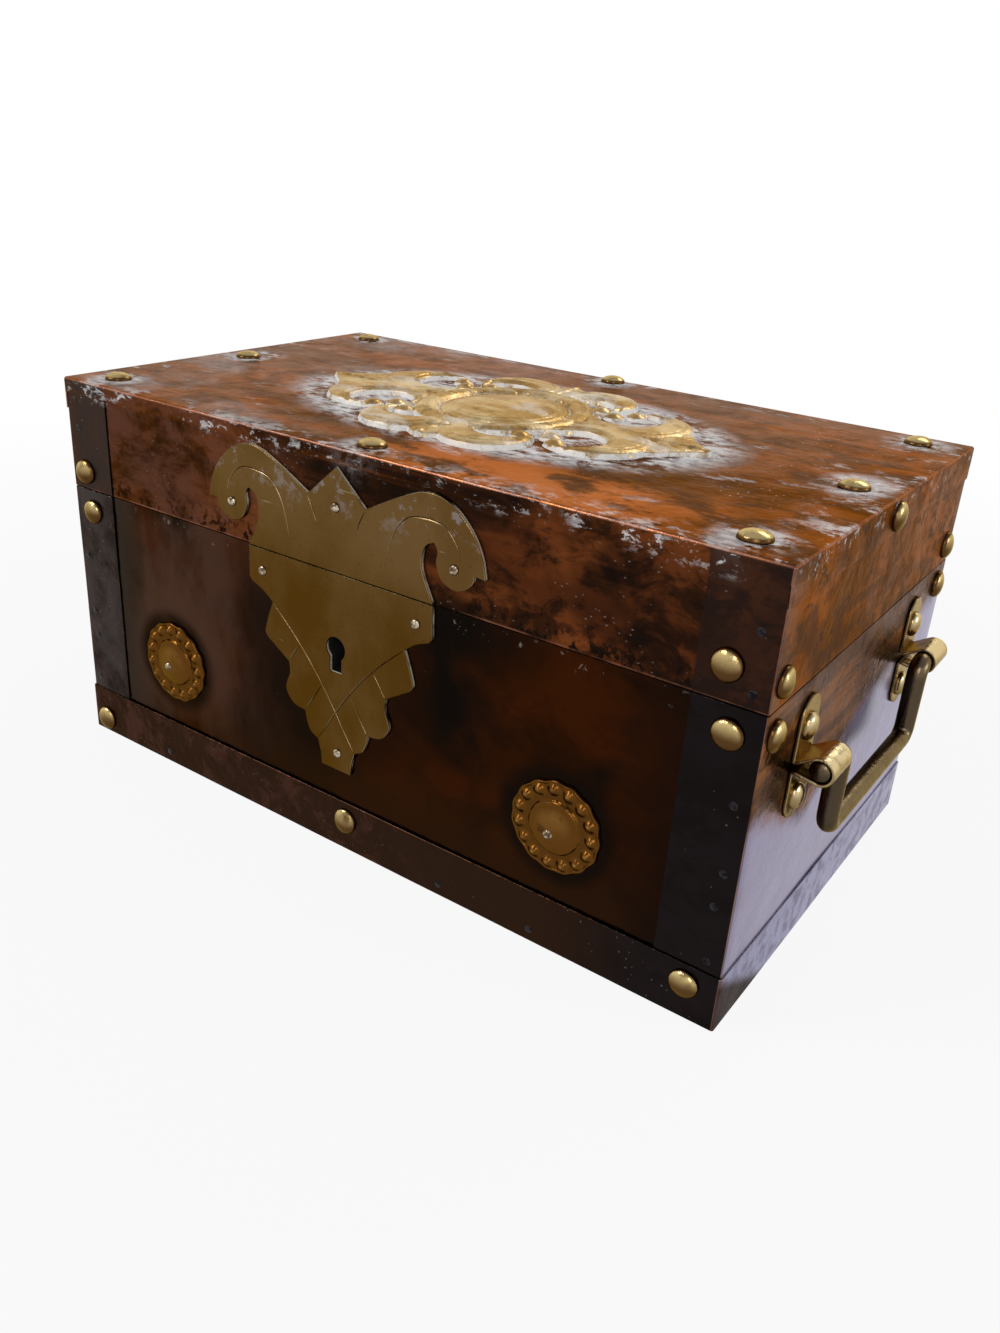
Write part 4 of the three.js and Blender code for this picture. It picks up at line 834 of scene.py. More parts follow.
LOWER_LINES = [
    [(0.72, -0.255), (0.44, -0.393), (0.2, -0.54), (0, -0.693), (-0.1, -0.78), (-0.2, -0.862)],
    [(0.42, -0.42), (0.49, -0.47), (0.54, -0.515)],
    [(0.17, -0.585), (0.27, -0.67), (0.35, -0.74)],
]
UPPER_PINS = [(-0.804, 0.39), (0.804, 0.39), (0, 0.632)]
LOWER_PINS = [(-0.843, -0.107), (0.843, -0.107), (0.02, -0.907)]
PLATE_BRASS, PLATE_WORN = (0.082, 0.038, 0.0062), (0.140, 0.080, 0.028)
PLATE_GRIME, PLATE_BRIGHT = (0.018, 0.0085, 0.003), (0.52, 0.42, 0.24)
PLATE_EDGE, PLATE_RIM_HIGHLIGHT = (0.7, 0.55, 0.35), (0.72, 0.64, 0.48)
NAIL_BRIGHT, NAIL_GRIME_SHADE = (0.60, 0.51, 0.37), (0.10, 0.065, 0.035)
UPPER_PART, DULL_PART = (0.112, 0.156), (0.146, 0.176)
PLATE_FACE, PLATE_FLANK, PLATE_CUT = (0.00003, 0.00010), (0.00045, 0.00035), (0.00018, 0.00030)
PLATE_WALL, SEAM_SHADE = (0.00042, 0.00055), 0.0025

field_y = at("front_sheet")[0][1] - MOUNT_GAP


def through(points, steps):
    """A smooth curve through points: between each two, a cubic whose slope at a point is half the
    step between that point's neighbours, with the end points doubled."""
    points = np.asarray(points, float)
    whole = np.concatenate([points[:1], points, points[-1:]])
    before, start, end, after = whole[:-3], whole[1:-2], whole[2:-1], whole[3:]
    t = (np.arange(steps) / steps)[:, None, None]
    cubic = (2 * start + (end - before) * t + (2 * before - 5 * start + 4 * end - after) * t ** 2
             + (3 * start - before - 3 * end + after) * t ** 3) / 2
    return np.concatenate([cubic.transpose(1, 0, 2).reshape(-1, points.shape[1]), points[-1:]])


def both_sides(half):
    """A closed outline from its right half, whose points run from the seam round to the middle."""
    outline = np.concatenate([half, half[::-1] * (-1, 1)])
    return outline[np.linalg.norm(outline - np.roll(outline, 1, 0), axis=1) > 1e-6]


def stood(points, level):
    """Points of a flat drawing as places on the box's front: along, up from the seam, and a level
    above the field, as one number or as one for each point."""
    level = np.broadcast_to(level, points.shape[:-1])
    return np.stack([points[..., 0] + PLATE_SHIFT, field_y - level, points[..., 1] + SEAM_LOW], -1)


def inset(outline, by):
    """A closed outline moved inwards, each point along the mean of its two edges' directions."""
    ahead = np.roll(outline, -1, 0) - outline
    ahead /= np.linalg.norm(ahead, axis=1)[:, None]
    mean = ahead + np.roll(ahead, 1, 0)
    mean /= np.linalg.norm(mean, axis=1)[:, None]
    following = np.roll(outline, -1, 0)
    turn = np.sign(np.sum(outline[:, 0] * following[:, 1] - following[:, 0] * outline[:, 1]))
    return outline + by * turn * np.stack([-mean[:, 1], mean[:, 0]], -1)


def aside(line):
    """The direction square to a flat line at each of its points, from the slope there."""
    ahead = np.gradient(line, axis=0)
    ahead /= np.linalg.norm(ahead, axis=1)[:, None]
    return np.stack([-ahead[:, 1], ahead[:, 0]], -1)


def groove(line):
    """The points and faces of a graver's cut along a line: a wedge that is deepest in the middle of
    the line and runs out at its ends, as a low power of the sine of a half turn."""
    line = through(line, GROOVE_STEPS)
    swell = np.sin(np.linspace(GROOVE_TIP, math.pi - GROOVE_TIP, len(line))) ** 0.35
    over, bottom = PLATE_THICKNESS + GROOVE_DEPTH, PLATE_THICKNESS - GROOVE_DEPTH * swell
    wide = 2 * GROOVE_HALF_WIDTH * swell[:, None] * aside(line)
    rows = [(line - wide, over), (line, bottom), (line + wide, over)]
    return tube(np.stack([stood(*row) for row in rows], 1))


def keyhole(level_low, level_high):
    """The points and faces of the keyhole's cutter: a round hole with a slot below it."""
    turn = math.asin(KEY_SLOT_HALF / KEY_RADIUS)
    arc = np.linspace(turn - math.pi / 2, 1.5 * math.pi - turn, KEY_POINTS)
    outline = np.stack([np.cos(arc), np.sin(arc)], -1) * KEY_RADIUS
    foot = [(-KEY_SLOT_HALF, -KEY_SLOT_DROP), (KEY_SLOT_HALF, -KEY_SLOT_DROP)]
    outline = np.concatenate([outline, foot]) - (0, KEY_DROP)
    return tube(np.stack([stood(outline, level) for level in (level_low, level_high)]))


def cut(mesh, cutters):
    """The points and faces of a mesh after each cutter, also points and faces, is taken from it."""
    blank = bpy.data.objects.new(mesh.name + "_blank", mesh)
    bpy.context.scene.collection.objects.link(blank)
    tools = []
    for cutter in cutters:
        tool = bpy.data.objects.new("cutter", metal("cutter", *cutter))
        bpy.context.scene.collection.objects.link(tool)
        tools.append(tool)
        step = blank.modifiers.new("cut", "BOOLEAN")
        step.operation, step.solver, step.object = "DIFFERENCE", "EXACT", tool
    done = blank.evaluated_get(bpy.context.evaluated_depsgraph_get()).data
    points = np.empty(3 * len(done.vertices), np.float32)
    done.vertices.foreach_get("co", points)
    faces = [list(face.vertices) for face in done.polygons]
    for made in (blank, *tools):
        data = made.data
        bpy.data.objects.remove(made)
        bpy.data.meshes.remove(data)
    return points.reshape(-1, 3), faces


def pin(seat, batter, seed):
    """The points and faces of a pin's round head on a seat that faces the front."""
    return turned(dome(PIN_RADIUS, PIN_HEIGHT, PIN_RINGS), PIN_SIDES, seat, (0, -1, 0), batter, seed)


def lock_plate(node, body, half, lines, scale, pins, seed, cutters=()):
    """A plate from the right half of its outline, with its engraved lines on both sides. Its pins
    are one more piece."""
    outline = both_sides(half)
    edge = stood(outline, 0.0), stood(outline, PLATE_THICKNESS - PLATE_EASING)
    rows = np.stack([*edge, stood(inset(outline, PLATE_EASING), PLATE_THICKNESS)])
    blank = metal(node + "_sawn", *tube(rows), PLATE_SHARP)
    sides = [np.array(line) * scale * (side, 1) for line in lines for side in (1, -1)]
    plate = cut(blank, [*cutters, *(groove(line) for line in sides)])
    fit(node + "_engraved", plate, plate_finish, body, "aged_brass", node, sharp=PLATE_SHARP)
    seats = enumerate(stood(np.array(pins) * scale, PLATE_THICKNESS), seed)
    heads = [pin(seat, PIN_BATTER, number) for number, seat in seats]
    fit(node + "_pins", joined(*heads), nail_finish, body, "brass")


nail_finish, place = new_finish("bright_nail")
nail_cloud = place.noise(600.0, 3.0)
# Nail heads darken in clouds and, as painted shade, on the faces turned down.
tone = nail_cloud.between(0.36, 0.60).most(skyward(place).between(0.15, -0.60))
coat_with(place, tone.tint(NAIL_BRIGHT, NAIL_GRIME_SHADE), nail_cloud * 0.3 + 0.06)

plate_finish, place = new_finish("engraved_brass")
along, out, rise = place.axes()
clouds = place.stretched((1.0, 1.0, 0.6)).noise(34.0, 5.0, 0.58)
pits = place.noise(700.0, 4.0, 0.7)
upper = (rise + along * 0.15).between(*UPPER_PART)
sunk = out - (field_y - PLATE_THICKNESS)
edges = sunk.between(*PLATE_FACE) * sunk.between(*PLATE_FLANK)
deep = sunk.between(*PLATE_CUT)
scratches = place.stretched((0.08, 1.0, 1.0), (0.0, 0.9, 0.0)).noise(520.0, 2.0, 0.5, 0.6)
scratches = scratches.between(0.70, 0.75) * place.noise(26.0, 2.0).between(0.50, 0.60)
dull = rise.between(*DULL_PART) * place.noise(120.0, 6.0, 0.7).between(0.54, 0.63)
# Side walls that face up or sideways get a painted highlight: pale, less metallic, left off at the seam.
wall = sunk.between(*PLATE_WALL) * skyward(place).between(-0.45, 0.10)
wall = wall * place.noise(60.0, 4.0, 0.6).between(0.30, 0.50) * (1 - rise.near(SEAM_LOW, SEAM_SHADE))
colour = (upper * 0.55 + clouds.between(0.38, 0.66) * 0.45).tint(PLATE_BRASS, PLATE_WORN).under(
    (edges * place.noise(55.0, 3.0).between(0.34, 0.56) * 0.3, PLATE_BRIGHT),
    (deep * 0.85, PLATE_GRIME),
    (pits.between(0.60, 0.72) * 0.45, PLATE_GRIME),
    (scratches * (0.2 + upper * 0.4), PLATE_BRIGHT),
    (dull * 0.35, OLD_POLISH),
    (wall * 0.9, PLATE_RIM_HIGHLIGHT),
)
relief = clouds * 0.7 + pits * 0.06 + place.noise(110.0, 3.0) * 0.24
gloss = clouds * 0.25 + 0.16 + deep * 0.3
coat_with(place, colour, gloss, 1 - wall * 0.8, relief, 0.0010, PLATE_EDGE)

lid_scale, body_scale = (SCROLL_REACH, PLATE_RISE), (PLATE_HALF_WIDTH, PLATE_DROP)
seam_corner = np.array([(PLATE_HALF_WIDTH, SEAM_HIGH - SEAM_LOW)])
inner = through(np.concatenate([seam_corner, np.array(HOOK_INNER) * lid_scale]), 6)
curl, outer = (through(np.array(line) * lid_scale, 8) for line in (HOOK_CURL, HOOK_OUTER))
peak = np.array([(0, 1)]) * lid_scale
upper_half = np.concatenate([inner, curl[1:], outer, peak])
lock_plate("lid_lock_plate", "lid", upper_half, UPPER_LINES, lid_scale, UPPER_PINS, 40)

lobes = [through(np.array(lobe) * body_scale, 6)[1:] for lobe in LOBES]
shoulder = through(np.array(SHOULDER) * body_scale, 5)
corner = np.array([(1, 0), (1.008, -0.153)]) * body_scale
foot = np.array([(0.177, -0.94), (0.167, -1)]) * body_scale
lower_half = np.concatenate([corner, shoulder, *lobes, foot])
keyhole_cutter = keyhole(-PLATE_THICKNESS, 2 * PLATE_THICKNESS)
lock_plate("lock_plate", "box", lower_half, LOWER_LINES, body_scale, LOWER_PINS, 50, [keyhole_cutter])


# Each rosette is pressed from thin brass: a ring of fifteen beads between a thin scalloped rim and a
# raised middle disc, held by one bright nail that stands a little proud.
ROSETTE_RADIUS = 0.0203
BEADS, BEAD_RING, BEAD_RADIUS, BEAD_RISE = 15, 0.0164, 0.0036, 0.0030
DISC_RADIUS, DISC_RISE, DISC_SWELL, DISC_EDGE = 0.0118, 0.0020, 0.0012, 0.0014
RIM_WIDTH, RIM_RISE, GUTTER, SCALLOP = 0.0009, 0.0014, 0.0009, 0.030
ROSETTE_SIDES, ROSETTE_RINGS, ROSETTE_SHARP = 240, 46, 60
NAIL_SLIPS = {"rosette_left": (-0.0028, -0.0024), "rosette_right": (-0.0018, -0.0030)}
NAIL_SUNK, NAIL_BATTER = 0.0006, 0.1
ROSETTE_BRASS, ROSETTE_WORN_LIT = (0.105, 0.042, 0.0075), (0.46, 0.25, 0.070)
ROSETTE_GRIME_SHADE = (0.022, 0.009, 0.0025)


def rounded(depth, width):
    """Zero at an edge, one at a width inside it, and a quarter circle between, of the depth inside."""
    return np.sqrt(1 - (1 - np.clip(depth / width, 0, 1)) ** 2)


def rosette(node, seed):
    """A round plate whose height over its foot, at a radius r and a turn t, is the most of: a gutter,
    a rim that falls as a circle at the edge, beads that rise as the square of a cosine, and a disc
    that swells from its edge to its middle. The edge is drawn in between the beads."""
    middle = at(node)[2]
    r = ROSETTE_RADIUS * np.sqrt(np.linspace(0.0004, 1, ROSETTE_RINGS))[:, None]
    t = np.linspace(0, 2 * math.pi, ROSETTE_SIDES, endpoint=False)[None, :]
    wobble = 1 + 0.012 * np.sin(3 * t + seed) + 0.008 * np.sin(7 * t + 2 * seed)
    scallops = 1 - SCALLOP * (0.5 - 0.5 * np.cos(BEADS * t)) * (r / ROSETTE_RADIUS) ** 6
    nearest = (np.round(t * BEADS / (2 * math.pi)) * 2 * math.pi / BEADS) - t
    away = np.hypot(r - BEAD_RING * np.cos(nearest), BEAD_RING * np.sin(nearest)) / BEAD_RADIUS
    inward = ROSETTE_RADIUS - r
    gutter = GUTTER * np.clip(inward / RIM_WIDTH, 0, 1)
    beads = gutter + (BEAD_RISE - GUTTER) * np.cos(away.clip(0, 1) * math.pi / 2) ** 2
    rim_fall = 1 - 0.45 * np.clip(inward / RIM_WIDTH - 1, 0, 1)
    rim = RIM_RISE * rounded(inward, RIM_WIDTH) * rim_fall
    swell = DISC_SWELL * np.clip(1 - (r / DISC_RADIUS) ** 2, 0, 1)
    disc = DISC_RISE * rounded(DISC_RADIUS * wobble - r, DISC_EDGE) + swell
    height = np.maximum(np.maximum(beads, disc), rim)
    out = r * wobble.clip(0.98, 1) * scallops
    rows = np.stack([middle[0] + out * np.cos(t), field_y - height, middle[2] + out * np.sin(t)], -1)
    back = rows[-1:] * (1, 0, 1) + (0, field_y, 0)
    shell = tube(np.concatenate([rows, back]))
    fit(node + "_pressed", shell, rosette_finish, "box", "brass", node, sharp=ROSETTE_SHARP)
    slip_x, slip_z = NAIL_SLIPS[node]
    nail_foot = field_y - DISC_RISE - DISC_SWELL + NAIL_SUNK
    nail = pin(np.array([middle[0] + slip_x, nail_foot, middle[2] + slip_z]), NAIL_BATTER, seed)
    fit(node + "_nail", nail, nail_finish, "box", "brass")


# The rosettes' brass gets a painted highlight where it looks up and painted shade where it looks down.
rosette_finish = brass(
    "pressed_brass", ROSETTE_BRASS, ROSETTE_WORN_LIT, ROSETTE_GRIME_SHADE, 0.2, 0.0024, 0.0044,
    lambda along, out, rise: field_y - out,
)
rosette("rosette_left", 2)
rosette("rosette_right", 5)

# The cartouche is sheet brass, pierced and raised from behind: a domed oval in a rounded ring, with
# crescent scrolls that end in curled eyes, and veined leaves. White polish has dried round its foot.
CARTOUCHE_REACH, CARTOUCHE_HALF, CARTOUCHE_RISE = 0.102, 0.064, 0.0034
OVAL, BEADING, BEADING_RISE = (0.94, 1.06), 72, 0.00012
RING_RADIUS, RING_TUBE, BOSS_RADIUS, BOSS_RISE, FIELD_RISE = 0.0358, 0.0054, 0.0294, 0.00420, 0.0010
SCROLLS = [
    ((0.328, 0.69), 0.31, (0.03, -0.16), 0.185),
    ((0.907, 0.28), 0.37, (-0.125, 0.11), 0.215),
]
EYE_SHARE, EYE_RISE, CUSHION = 0.075, 0.0029, 0.0062
HOLLOW_LINE, BACK_LINE = (0.0030, 0.0009, 0.0006), (0.0042, 0.0008, 0.0003)
EYE_LINE, RING_LINE = (0.0017, 0.0009, 0.0003), (0.0, 0.0009, 0.00045)
BOSS_LINES = [(0.0030, 0.0008, 0.00028), (0.0058, 0.0008, 0.00022)]
END_LEAF = [(0.3, 0.12), (0.5, 0.12), (0.66, 0.16), (0.78, 0.34), (0.88, 0.17), (1, 0)]
SIDE_LEAF = [(0.09, 0.5), (0.1, 0.74), (0.085, 0.9), (0, 1)]
LEAF_RISE, LEAF_ROUND, MIDRIB = 0.0024, 0.0040, (0.0, 0.0013, 0.0006)
VEIN_PITCH, VEIN_SLANT, VEIN_DEPTH, VEIN_MARGIN = 0.0065, 0.8, 0.00028, 0.0012
CELL, MARGIN_CELLS, BURIED, FLANK, HAMMERING = 0.00057, 4, 0.0003, 3.2, 0.00006
GILT, GILT_BRIGHT, GILT_GRIME = (0.46, 0.280, 0.100), (0.80, 0.64, 0.38), (0.060, 0.034, 0.014)
VERDIGRIS, GILT_EDGE, RAISED_SHARP = (0.33, 0.36, 0.36), (0.85, 0.70, 0.50), 75

low, high, middle = at("cartouche")
margin = MARGIN_CELLS * CELL
spans = [np.arange(low[i] - margin, high[i] + margin, CELL) - middle[i] for i in (0, 1)]
plan_x, plan_y = np.meshgrid(*spans, indexing="ij")


def inside(outline):
    """The distance inside a closed outline, negative outside: the least distance to its edges, with
    the sign of whether the outline winds round the place."""
    near = np.full(plan_x.shape, 1.0)
    within = np.zeros(plan_x.shape, bool)
    for (x0, y0), (x1, y1) in zip(outline, np.roll(outline, -1, 0)):
        along, up = x1 - x0, y1 - y0
        share = ((plan_x - x0) * along + (plan_y - y0) * up) / (along ** 2 + up ** 2 + 1e-18)
        share = np.clip(share, 0, 1)
        near = np.minimum(near, np.hypot(plan_x - x0 - share * along, plan_y - y0 - share * up))
        crosses = (y0 > plan_y) != (y1 > plan_y)
        within ^= crosses & (plan_x < x0 + (plan_y - y0) * along / (up if up else 1e-18))
    return np.where(within, near, -near)


def ridge(distance, line, width, height):
    """A round ridge of a height along a line at a distance, down to zero at a width on both sides."""
    return height * np.clip(1 - ((distance - line) / width) ** 2, 0, 1)


def scroll_form(plan, flip_x, flip_y):
    """A crescent, the disc outside its opening, raised as a round-edged cushion with a line chased
    along its back, and a curled eye at each of its horns."""
    centre, radius, step, opening = (np.array(share) * CARTOUCHE_HALF for share in plan)
    centre, step = centre * (flip_x, flip_y), step * (flip_x, flip_y)
    eye, pierced, far = EYE_SHARE * CARTOUCHE_HALF, centre + step, math.hypot(*step)
    disc = radius - np.hypot(plan_x - centre[0], plan_y - centre[1])
    hollow = np.hypot(plan_x - pierced[0], plan_y - pierced[1]) - opening
    depth = np.minimum(disc, hollow)
    rise = CARTOUCHE_RISE * (0.25 + 0.75 * rounded(depth, CUSHION))
    forms = [(depth, rise - ridge(hollow, *HOLLOW_LINE) - ridge(disc, *BACK_LINE))]
    horn = math.acos((radius ** 2 - opening ** 2 + far ** 2) / (2 * far) / radius)
    heading = math.atan2(step[1], step[0])
    for turn in (heading - horn, heading + horn):
        x, y = centre + (radius - eye) * np.array((math.cos(turn), math.sin(turn)))
        depth = eye - np.hypot(plan_x - x, plan_y - y)
        forms.append((depth, EYE_RISE * rounded(depth, eye) - ridge(depth, *EYE_LINE)))
    return forms


def leaf_form(shares, mirror, flip, along, across):
    """A leaf, round at its edge, with a raised midrib and veins that slant away from it, each vein
    where the cosine of a slanted distance is over zero."""
    half = through(np.array(shares) * (CARTOUCHE_REACH, CARTOUCHE_HALF), 8)
    outline = np.concatenate([half, half[::-1][1:] * mirror]) * flip
    depth = inside(outline)
    rise = LEAF_RISE * (0.35 + 0.65 * rounded(depth, LEAF_ROUND))
    veins = np.cos((along * VEIN_SLANT - across) * 2 * math.pi / VEIN_PITCH)
    rise = rise - VEIN_DEPTH * np.clip(veins, 0, 1) * rounded(depth - VEIN_MARGIN, LEAF_ROUND / 2)
    return depth, rise + ridge(across, *MIDRIB)


radial = np.hypot(plan_x / OVAL[0], plan_y / OVAL[1])
across_ring, boss_depth = RING_TUBE - abs(radial - RING_RADIUS), BOSS_RADIUS - radial
ring_rise = CARTOUCHE_RISE * rounded(across_ring, RING_TUBE) - ridge(radial - RING_RADIUS, *RING_LINE)
beading = BEADING_RISE * np.cos(np.arctan2(plan_y, plan_x) * BEADING)
boss_rise = FIELD_RISE + (BOSS_RISE - FIELD_RISE) * rounded(boss_depth, BOSS_RADIUS)
boss_rise = boss_rise - sum(ridge(boss_depth, *line) for line in BOSS_LINES)
forms = [(across_ring, ring_rise), (RING_RADIUS - radial, FIELD_RISE + beading), (boss_depth, boss_rise)]
for flip in (-1, 1):
    forms.append(leaf_form(END_LEAF, (1, -1), flip, abs(plan_x), abs(plan_y)))
    forms.append(leaf_form(SIDE_LEAF, (-1, 1), flip, abs(plan_y), abs(plan_x)))
    for plan in SCROLLS:
        forms += scroll_form(plan, flip, 1) + scroll_form(plan, flip, -1)
rise = np.max([np.minimum(form, FLANK * depth) for depth, form in forms], axis=0)
rise = rise + HAMMERING * slow_waves(plan_x * 9, plan_y * 9, 21)
rise = np.clip(rise, -BURIED, high[2] - low[2] - MOUNT_GAP)

seat_z = low[2] - MOUNT_GAP
points, faces = grid(np.stack([plan_x + middle[0], plan_y + middle[1], rise + seat_z], -1))
faces = np.array(faces)
faces = faces[(rise.reshape(-1)[faces] > -BURIED).any(axis=1)]
used, faces = np.unique(faces, return_inverse=True)
faces = faces.reshape(-1, 4)
points = points[used]
under = points * (1, 1, 0) + (0, 0, seat_z - 1.5 * BURIED)
edges = np.sort(np.stack([faces, np.roll(faces, -1, 1)], -1).reshape(-1, 2), axis=1)
edges, counts = np.unique(edges, axis=0, return_counts=True)
rim = edges[counts == 1]
walls = np.hstack([rim, rim[:, ::-1] + len(points)])
all_faces = np.concatenate([faces, faces[:, ::-1] + len(points), walls])
cartouche = np.concatenate([points, under]), all_faces.tolist()

cartouche_finish, place = new_finish("raised_brass")
along, out, level = place.axes()
clouds = place.noise(52.0, 5.0, 0.62)
pits = place.noise(640.0, 4.0, 0.7)
up = (level - seat_z) * (1 / CARTOUCHE_RISE)
dried = place.noise(130.0, 6.0, 0.72)
haze = place.stretched((0.6, 1.0, 1.0), shift=(0.0, 4.0, 0.0)).noise(44.0, 5.0, 0.65).between(0.50, 0.64)
flank = skyward(place).between(0.80, 0.50) * up.between(0.95, 0.55)
crust = flank.most(up.between(0.40, 0.15), haze * 0.5) * dried.between(0.32, 0.48)
colour = clouds.between(0.42, 0.68).tint(GILT, GILT_BRIGHT).under(
    (strokes(place, (0.0, 0.0, 0.2), 190.0) * up.between(0.45, 1.0) * 0.55, GILT_BRIGHT),
    (place.noise(70.0, 5.0, 0.6).between(0.54, 0.66) * 0.5, GILT_GRIME),
    (pits.between(0.58, 0.70) * 0.45, GILT_GRIME),
    (crust * 0.9, dried.between(0.34, 0.50).tint(VERDIGRIS, POLISH)),
)
relief = clouds * 0.5 + pits * 0.1 + place.noise(150.0, 3.0) * 0.4
gloss = clouds * 0.25 + 0.16 + crust * 0.35
coat_with(place, colour, gloss, 1 - crust * 0.9, relief, 0.0011, GILT_EDGE)
fit(
    "cartouche_raised", cartouche, cartouche_finish, "lid", "aged_brass", "cartouche",
    sharp=RAISED_SHARP,
)

# Each end has a brass bail that hangs in two folded straps. A strap is a strip with round ends,
# bent out from the wall into a loop round the bail, and it has a rivet above and one below the loop.
STRAP_HALF_WIDTH, STRAP_THICKNESS, STRAP_TOP, STRAP_FOOT = 0.00875, 0.0012, 0.0244, -0.0256
LOOP_OUT, LOOP_RADIUS, LOOP_NECKS, LOOP_POINTS = 0.0104, 0.00498, (-0.00015, -0.00345), 26
NECK_CUT, NECK_POINTS, STRAP_EASING, PIVOT_HEIGHT = 0.0016, 7, 0.0003, 0.0995
RIVET_RADIUS, RIVET_RISES, RIVET_BATTER = 0.0054, (0.0122, -0.0165), 0.1
STRAP_BRASS, STRAP_WORN_LIT, STRAP_GRIME_SHADE = (0.26, 0.185, 0.085), (0.72, 0.58, 0.33), (0.045, 0.030, 0.014)
ROD_RADIUS, ROD_REACH, ARM_REACH, BAIL_DROP, BAIL_BEND = 0.0042, 0.07085, 0.04705, 0.0335, 0.0054
TURN_POINTS, ROD_SIDES, TIP_LENGTH, WORN_THIN = 9, 28, 0.0022, 0.035
GRIP_POINTS, TIP_POINTS, ARM_POINTS, STRAP_SHARP, BAIL_SHARP = 8, 7, 6, 42, 60
BRONZE, BRONZE_WORN_LIT, BRONZE_GRIME_SHADE = (0.064, 0.046, 0.029), (0.17, 0.125, 0.070), (0.020, 0.014, 0.009)


def eased(before, corner, after):
    """The round of a line's corner, a parabola from a little before it to a little after it."""
    ways = before - corner, after - corner
    start, end = (corner + way * NECK_CUT / np.linalg.norm(way) for way in ways)
    t = np.linspace(0, 1, NECK_POINTS)[:, None]
    return (1 - t) ** 2 * start + 2 * t * (1 - t) * corner + t ** 2 * end


def strap(node, side, y):
    """A flat section carried down the wall, out round the loop and on down. Its half width is that of
    the strip, and at both ends that of a half circle."""
    foot_x = STRAP_THICKNESS / 2
    necks = [np.array((foot_x, height)) for height in LOOP_NECKS]
    turns = []
    for neck, sense in zip(necks, (1, -1)):
        away = neck - (LOOP_OUT, 0)
        turns.append(math.atan2(away[1], away[0]) - sense * math.acos(LOOP_RADIUS / math.hypot(*away)))
    arc = np.linspace(turns[0] % (2 * math.pi), turns[1], LOOP_POINTS)
    loop = np.stack([LOOP_OUT + LOOP_RADIUS * np.cos(arc), LOOP_RADIUS * np.sin(arc)], -1)
    top, bottom = np.array((foot_x, STRAP_TOP)), np.array((foot_x, STRAP_FOOT))
    upper, lower = eased(top, necks[0], loop[0]), eased(loop[-1], necks[1], bottom)
    ends = STRAP_HALF_WIDTH * (1 - np.cos(np.linspace(0, math.pi / 2, TURN_POINTS)))[:-1, None] * (0, 1)
    line = np.concatenate([top - ends, upper, loop, lower, (bottom + ends)[::-1]])
    run = lengths(line)
    from_end = STRAP_HALF_WIDTH - np.minimum(run, run[-1] - run).clip(0, STRAP_HALF_WIDTH)
    width = np.sqrt(STRAP_HALF_WIDTH ** 2 - from_end ** 2).clip(1e-7)[:, None]
    half, eased_half = STRAP_THICKNESS / 2, STRAP_THICKNESS / 2 - STRAP_EASING
    offsets = np.array([half, half, eased_half, -eased_half, -half, -half, -eased_half, eased_half])
    pulls = np.array([-1, -1, 0, 0, -1, -1, 0, 0]) * STRAP_EASING
    across = np.array([-1, 1, 1, 1, 1, -1, -1, -1]) * (width + pulls).clip(1e-7)
    flat = line[:, None, :] + aside(line)[:, None, :] * offsets[:, None]
    flat = flat + (wall_x + MOUNT_GAP, PIVOT_HEIGHT)
    shells = [tube(np.stack([side * flat[..., 0], y + across, flat[..., 1]], -1))]
    profile = dome(RIVET_RADIUS, STUD_HEIGHT, STUD_RINGS)
    for number, height in enumerate(RIVET_RISES):
        seat = np.array((side * (wall_x + STRAP_THICKNESS), y, PIVOT_HEIGHT + height))
        shells.append(turned(profile, STUD_SIDES, seat, (side, 0, 0), RIVET_BATTER, number))
    fit(node + "_folded", joined(*shells), strap_finish, "box", "brass", node, sharp=STRAP_SHARP)


def bail(node, side):
    """A round bar along a line of straight stretches and quarter turns, its radius a little less in
    the turns, and its ends domed."""
    quarter, bend = np.linspace(0, math.pi / 2, TURN_POINTS), BAIL_BEND
    sine, cosine = bend * np.sin(quarter), bend * np.cos(quarter)
    first = np.stack([-ARM_REACH - bend + sine, cosine - bend], -1)
    second = np.stack([-ARM_REACH + bend - cosine, bend - BAIL_DROP - sine], -1)
    grip = np.linspace(second[-1][0], 0, GRIP_POINTS)[1:, None] * (1, 0) + (0, -BAIL_DROP)
    tip = TIP_LENGTH * (1 - np.cos(np.linspace(0, math.pi / 2, TIP_POINTS)))
    arm = np.linspace(1.1 * TIP_LENGTH, ROD_REACH - ARM_REACH - bend - 0.001, ARM_POINTS)
    straight = np.concatenate([tip, arm])[:, None] * (1, 0) - (ROD_REACH, 0)
    half = np.concatenate([straight, first, second, grip])
    line = np.concatenate([half, half[:-1][::-1] * (-1, 1)])
    round_end = rounded(ROD_REACH - abs(line[:, 0]), TIP_LENGTH).clip(0.02)
    waist = 1 - WORN_THIN * np.clip(-line[:, 1] / BAIL_DROP, 0, 1) + 0.01 * slow_waves(*line.T, 31)
    radius = (ROD_RADIUS * np.where(line[:, 1] > -0.0001, round_end, 1) * waist.clip(0.9, 1))[:, None]
    t = np.linspace(0, 2 * math.pi, ROD_SIDES, endpoint=False)
    flat = line[:, None, :] + aside(line)[:, None, :] * (radius * np.sin(t))[..., None]
    flat = flat + (0, PIVOT_HEIGHT)
    out = wall_x + MOUNT_GAP + LOOP_OUT + radius * np.cos(t)
    rows = np.stack([out, flat[..., 0], flat[..., 1]], -1) * (side, side, 1)
    fit(node + "_bent", tube(rows), bail_finish, node, "bronze", node, sharp=BAIL_SHARP)


wall_x = at("right_end_sheet")[1][0]
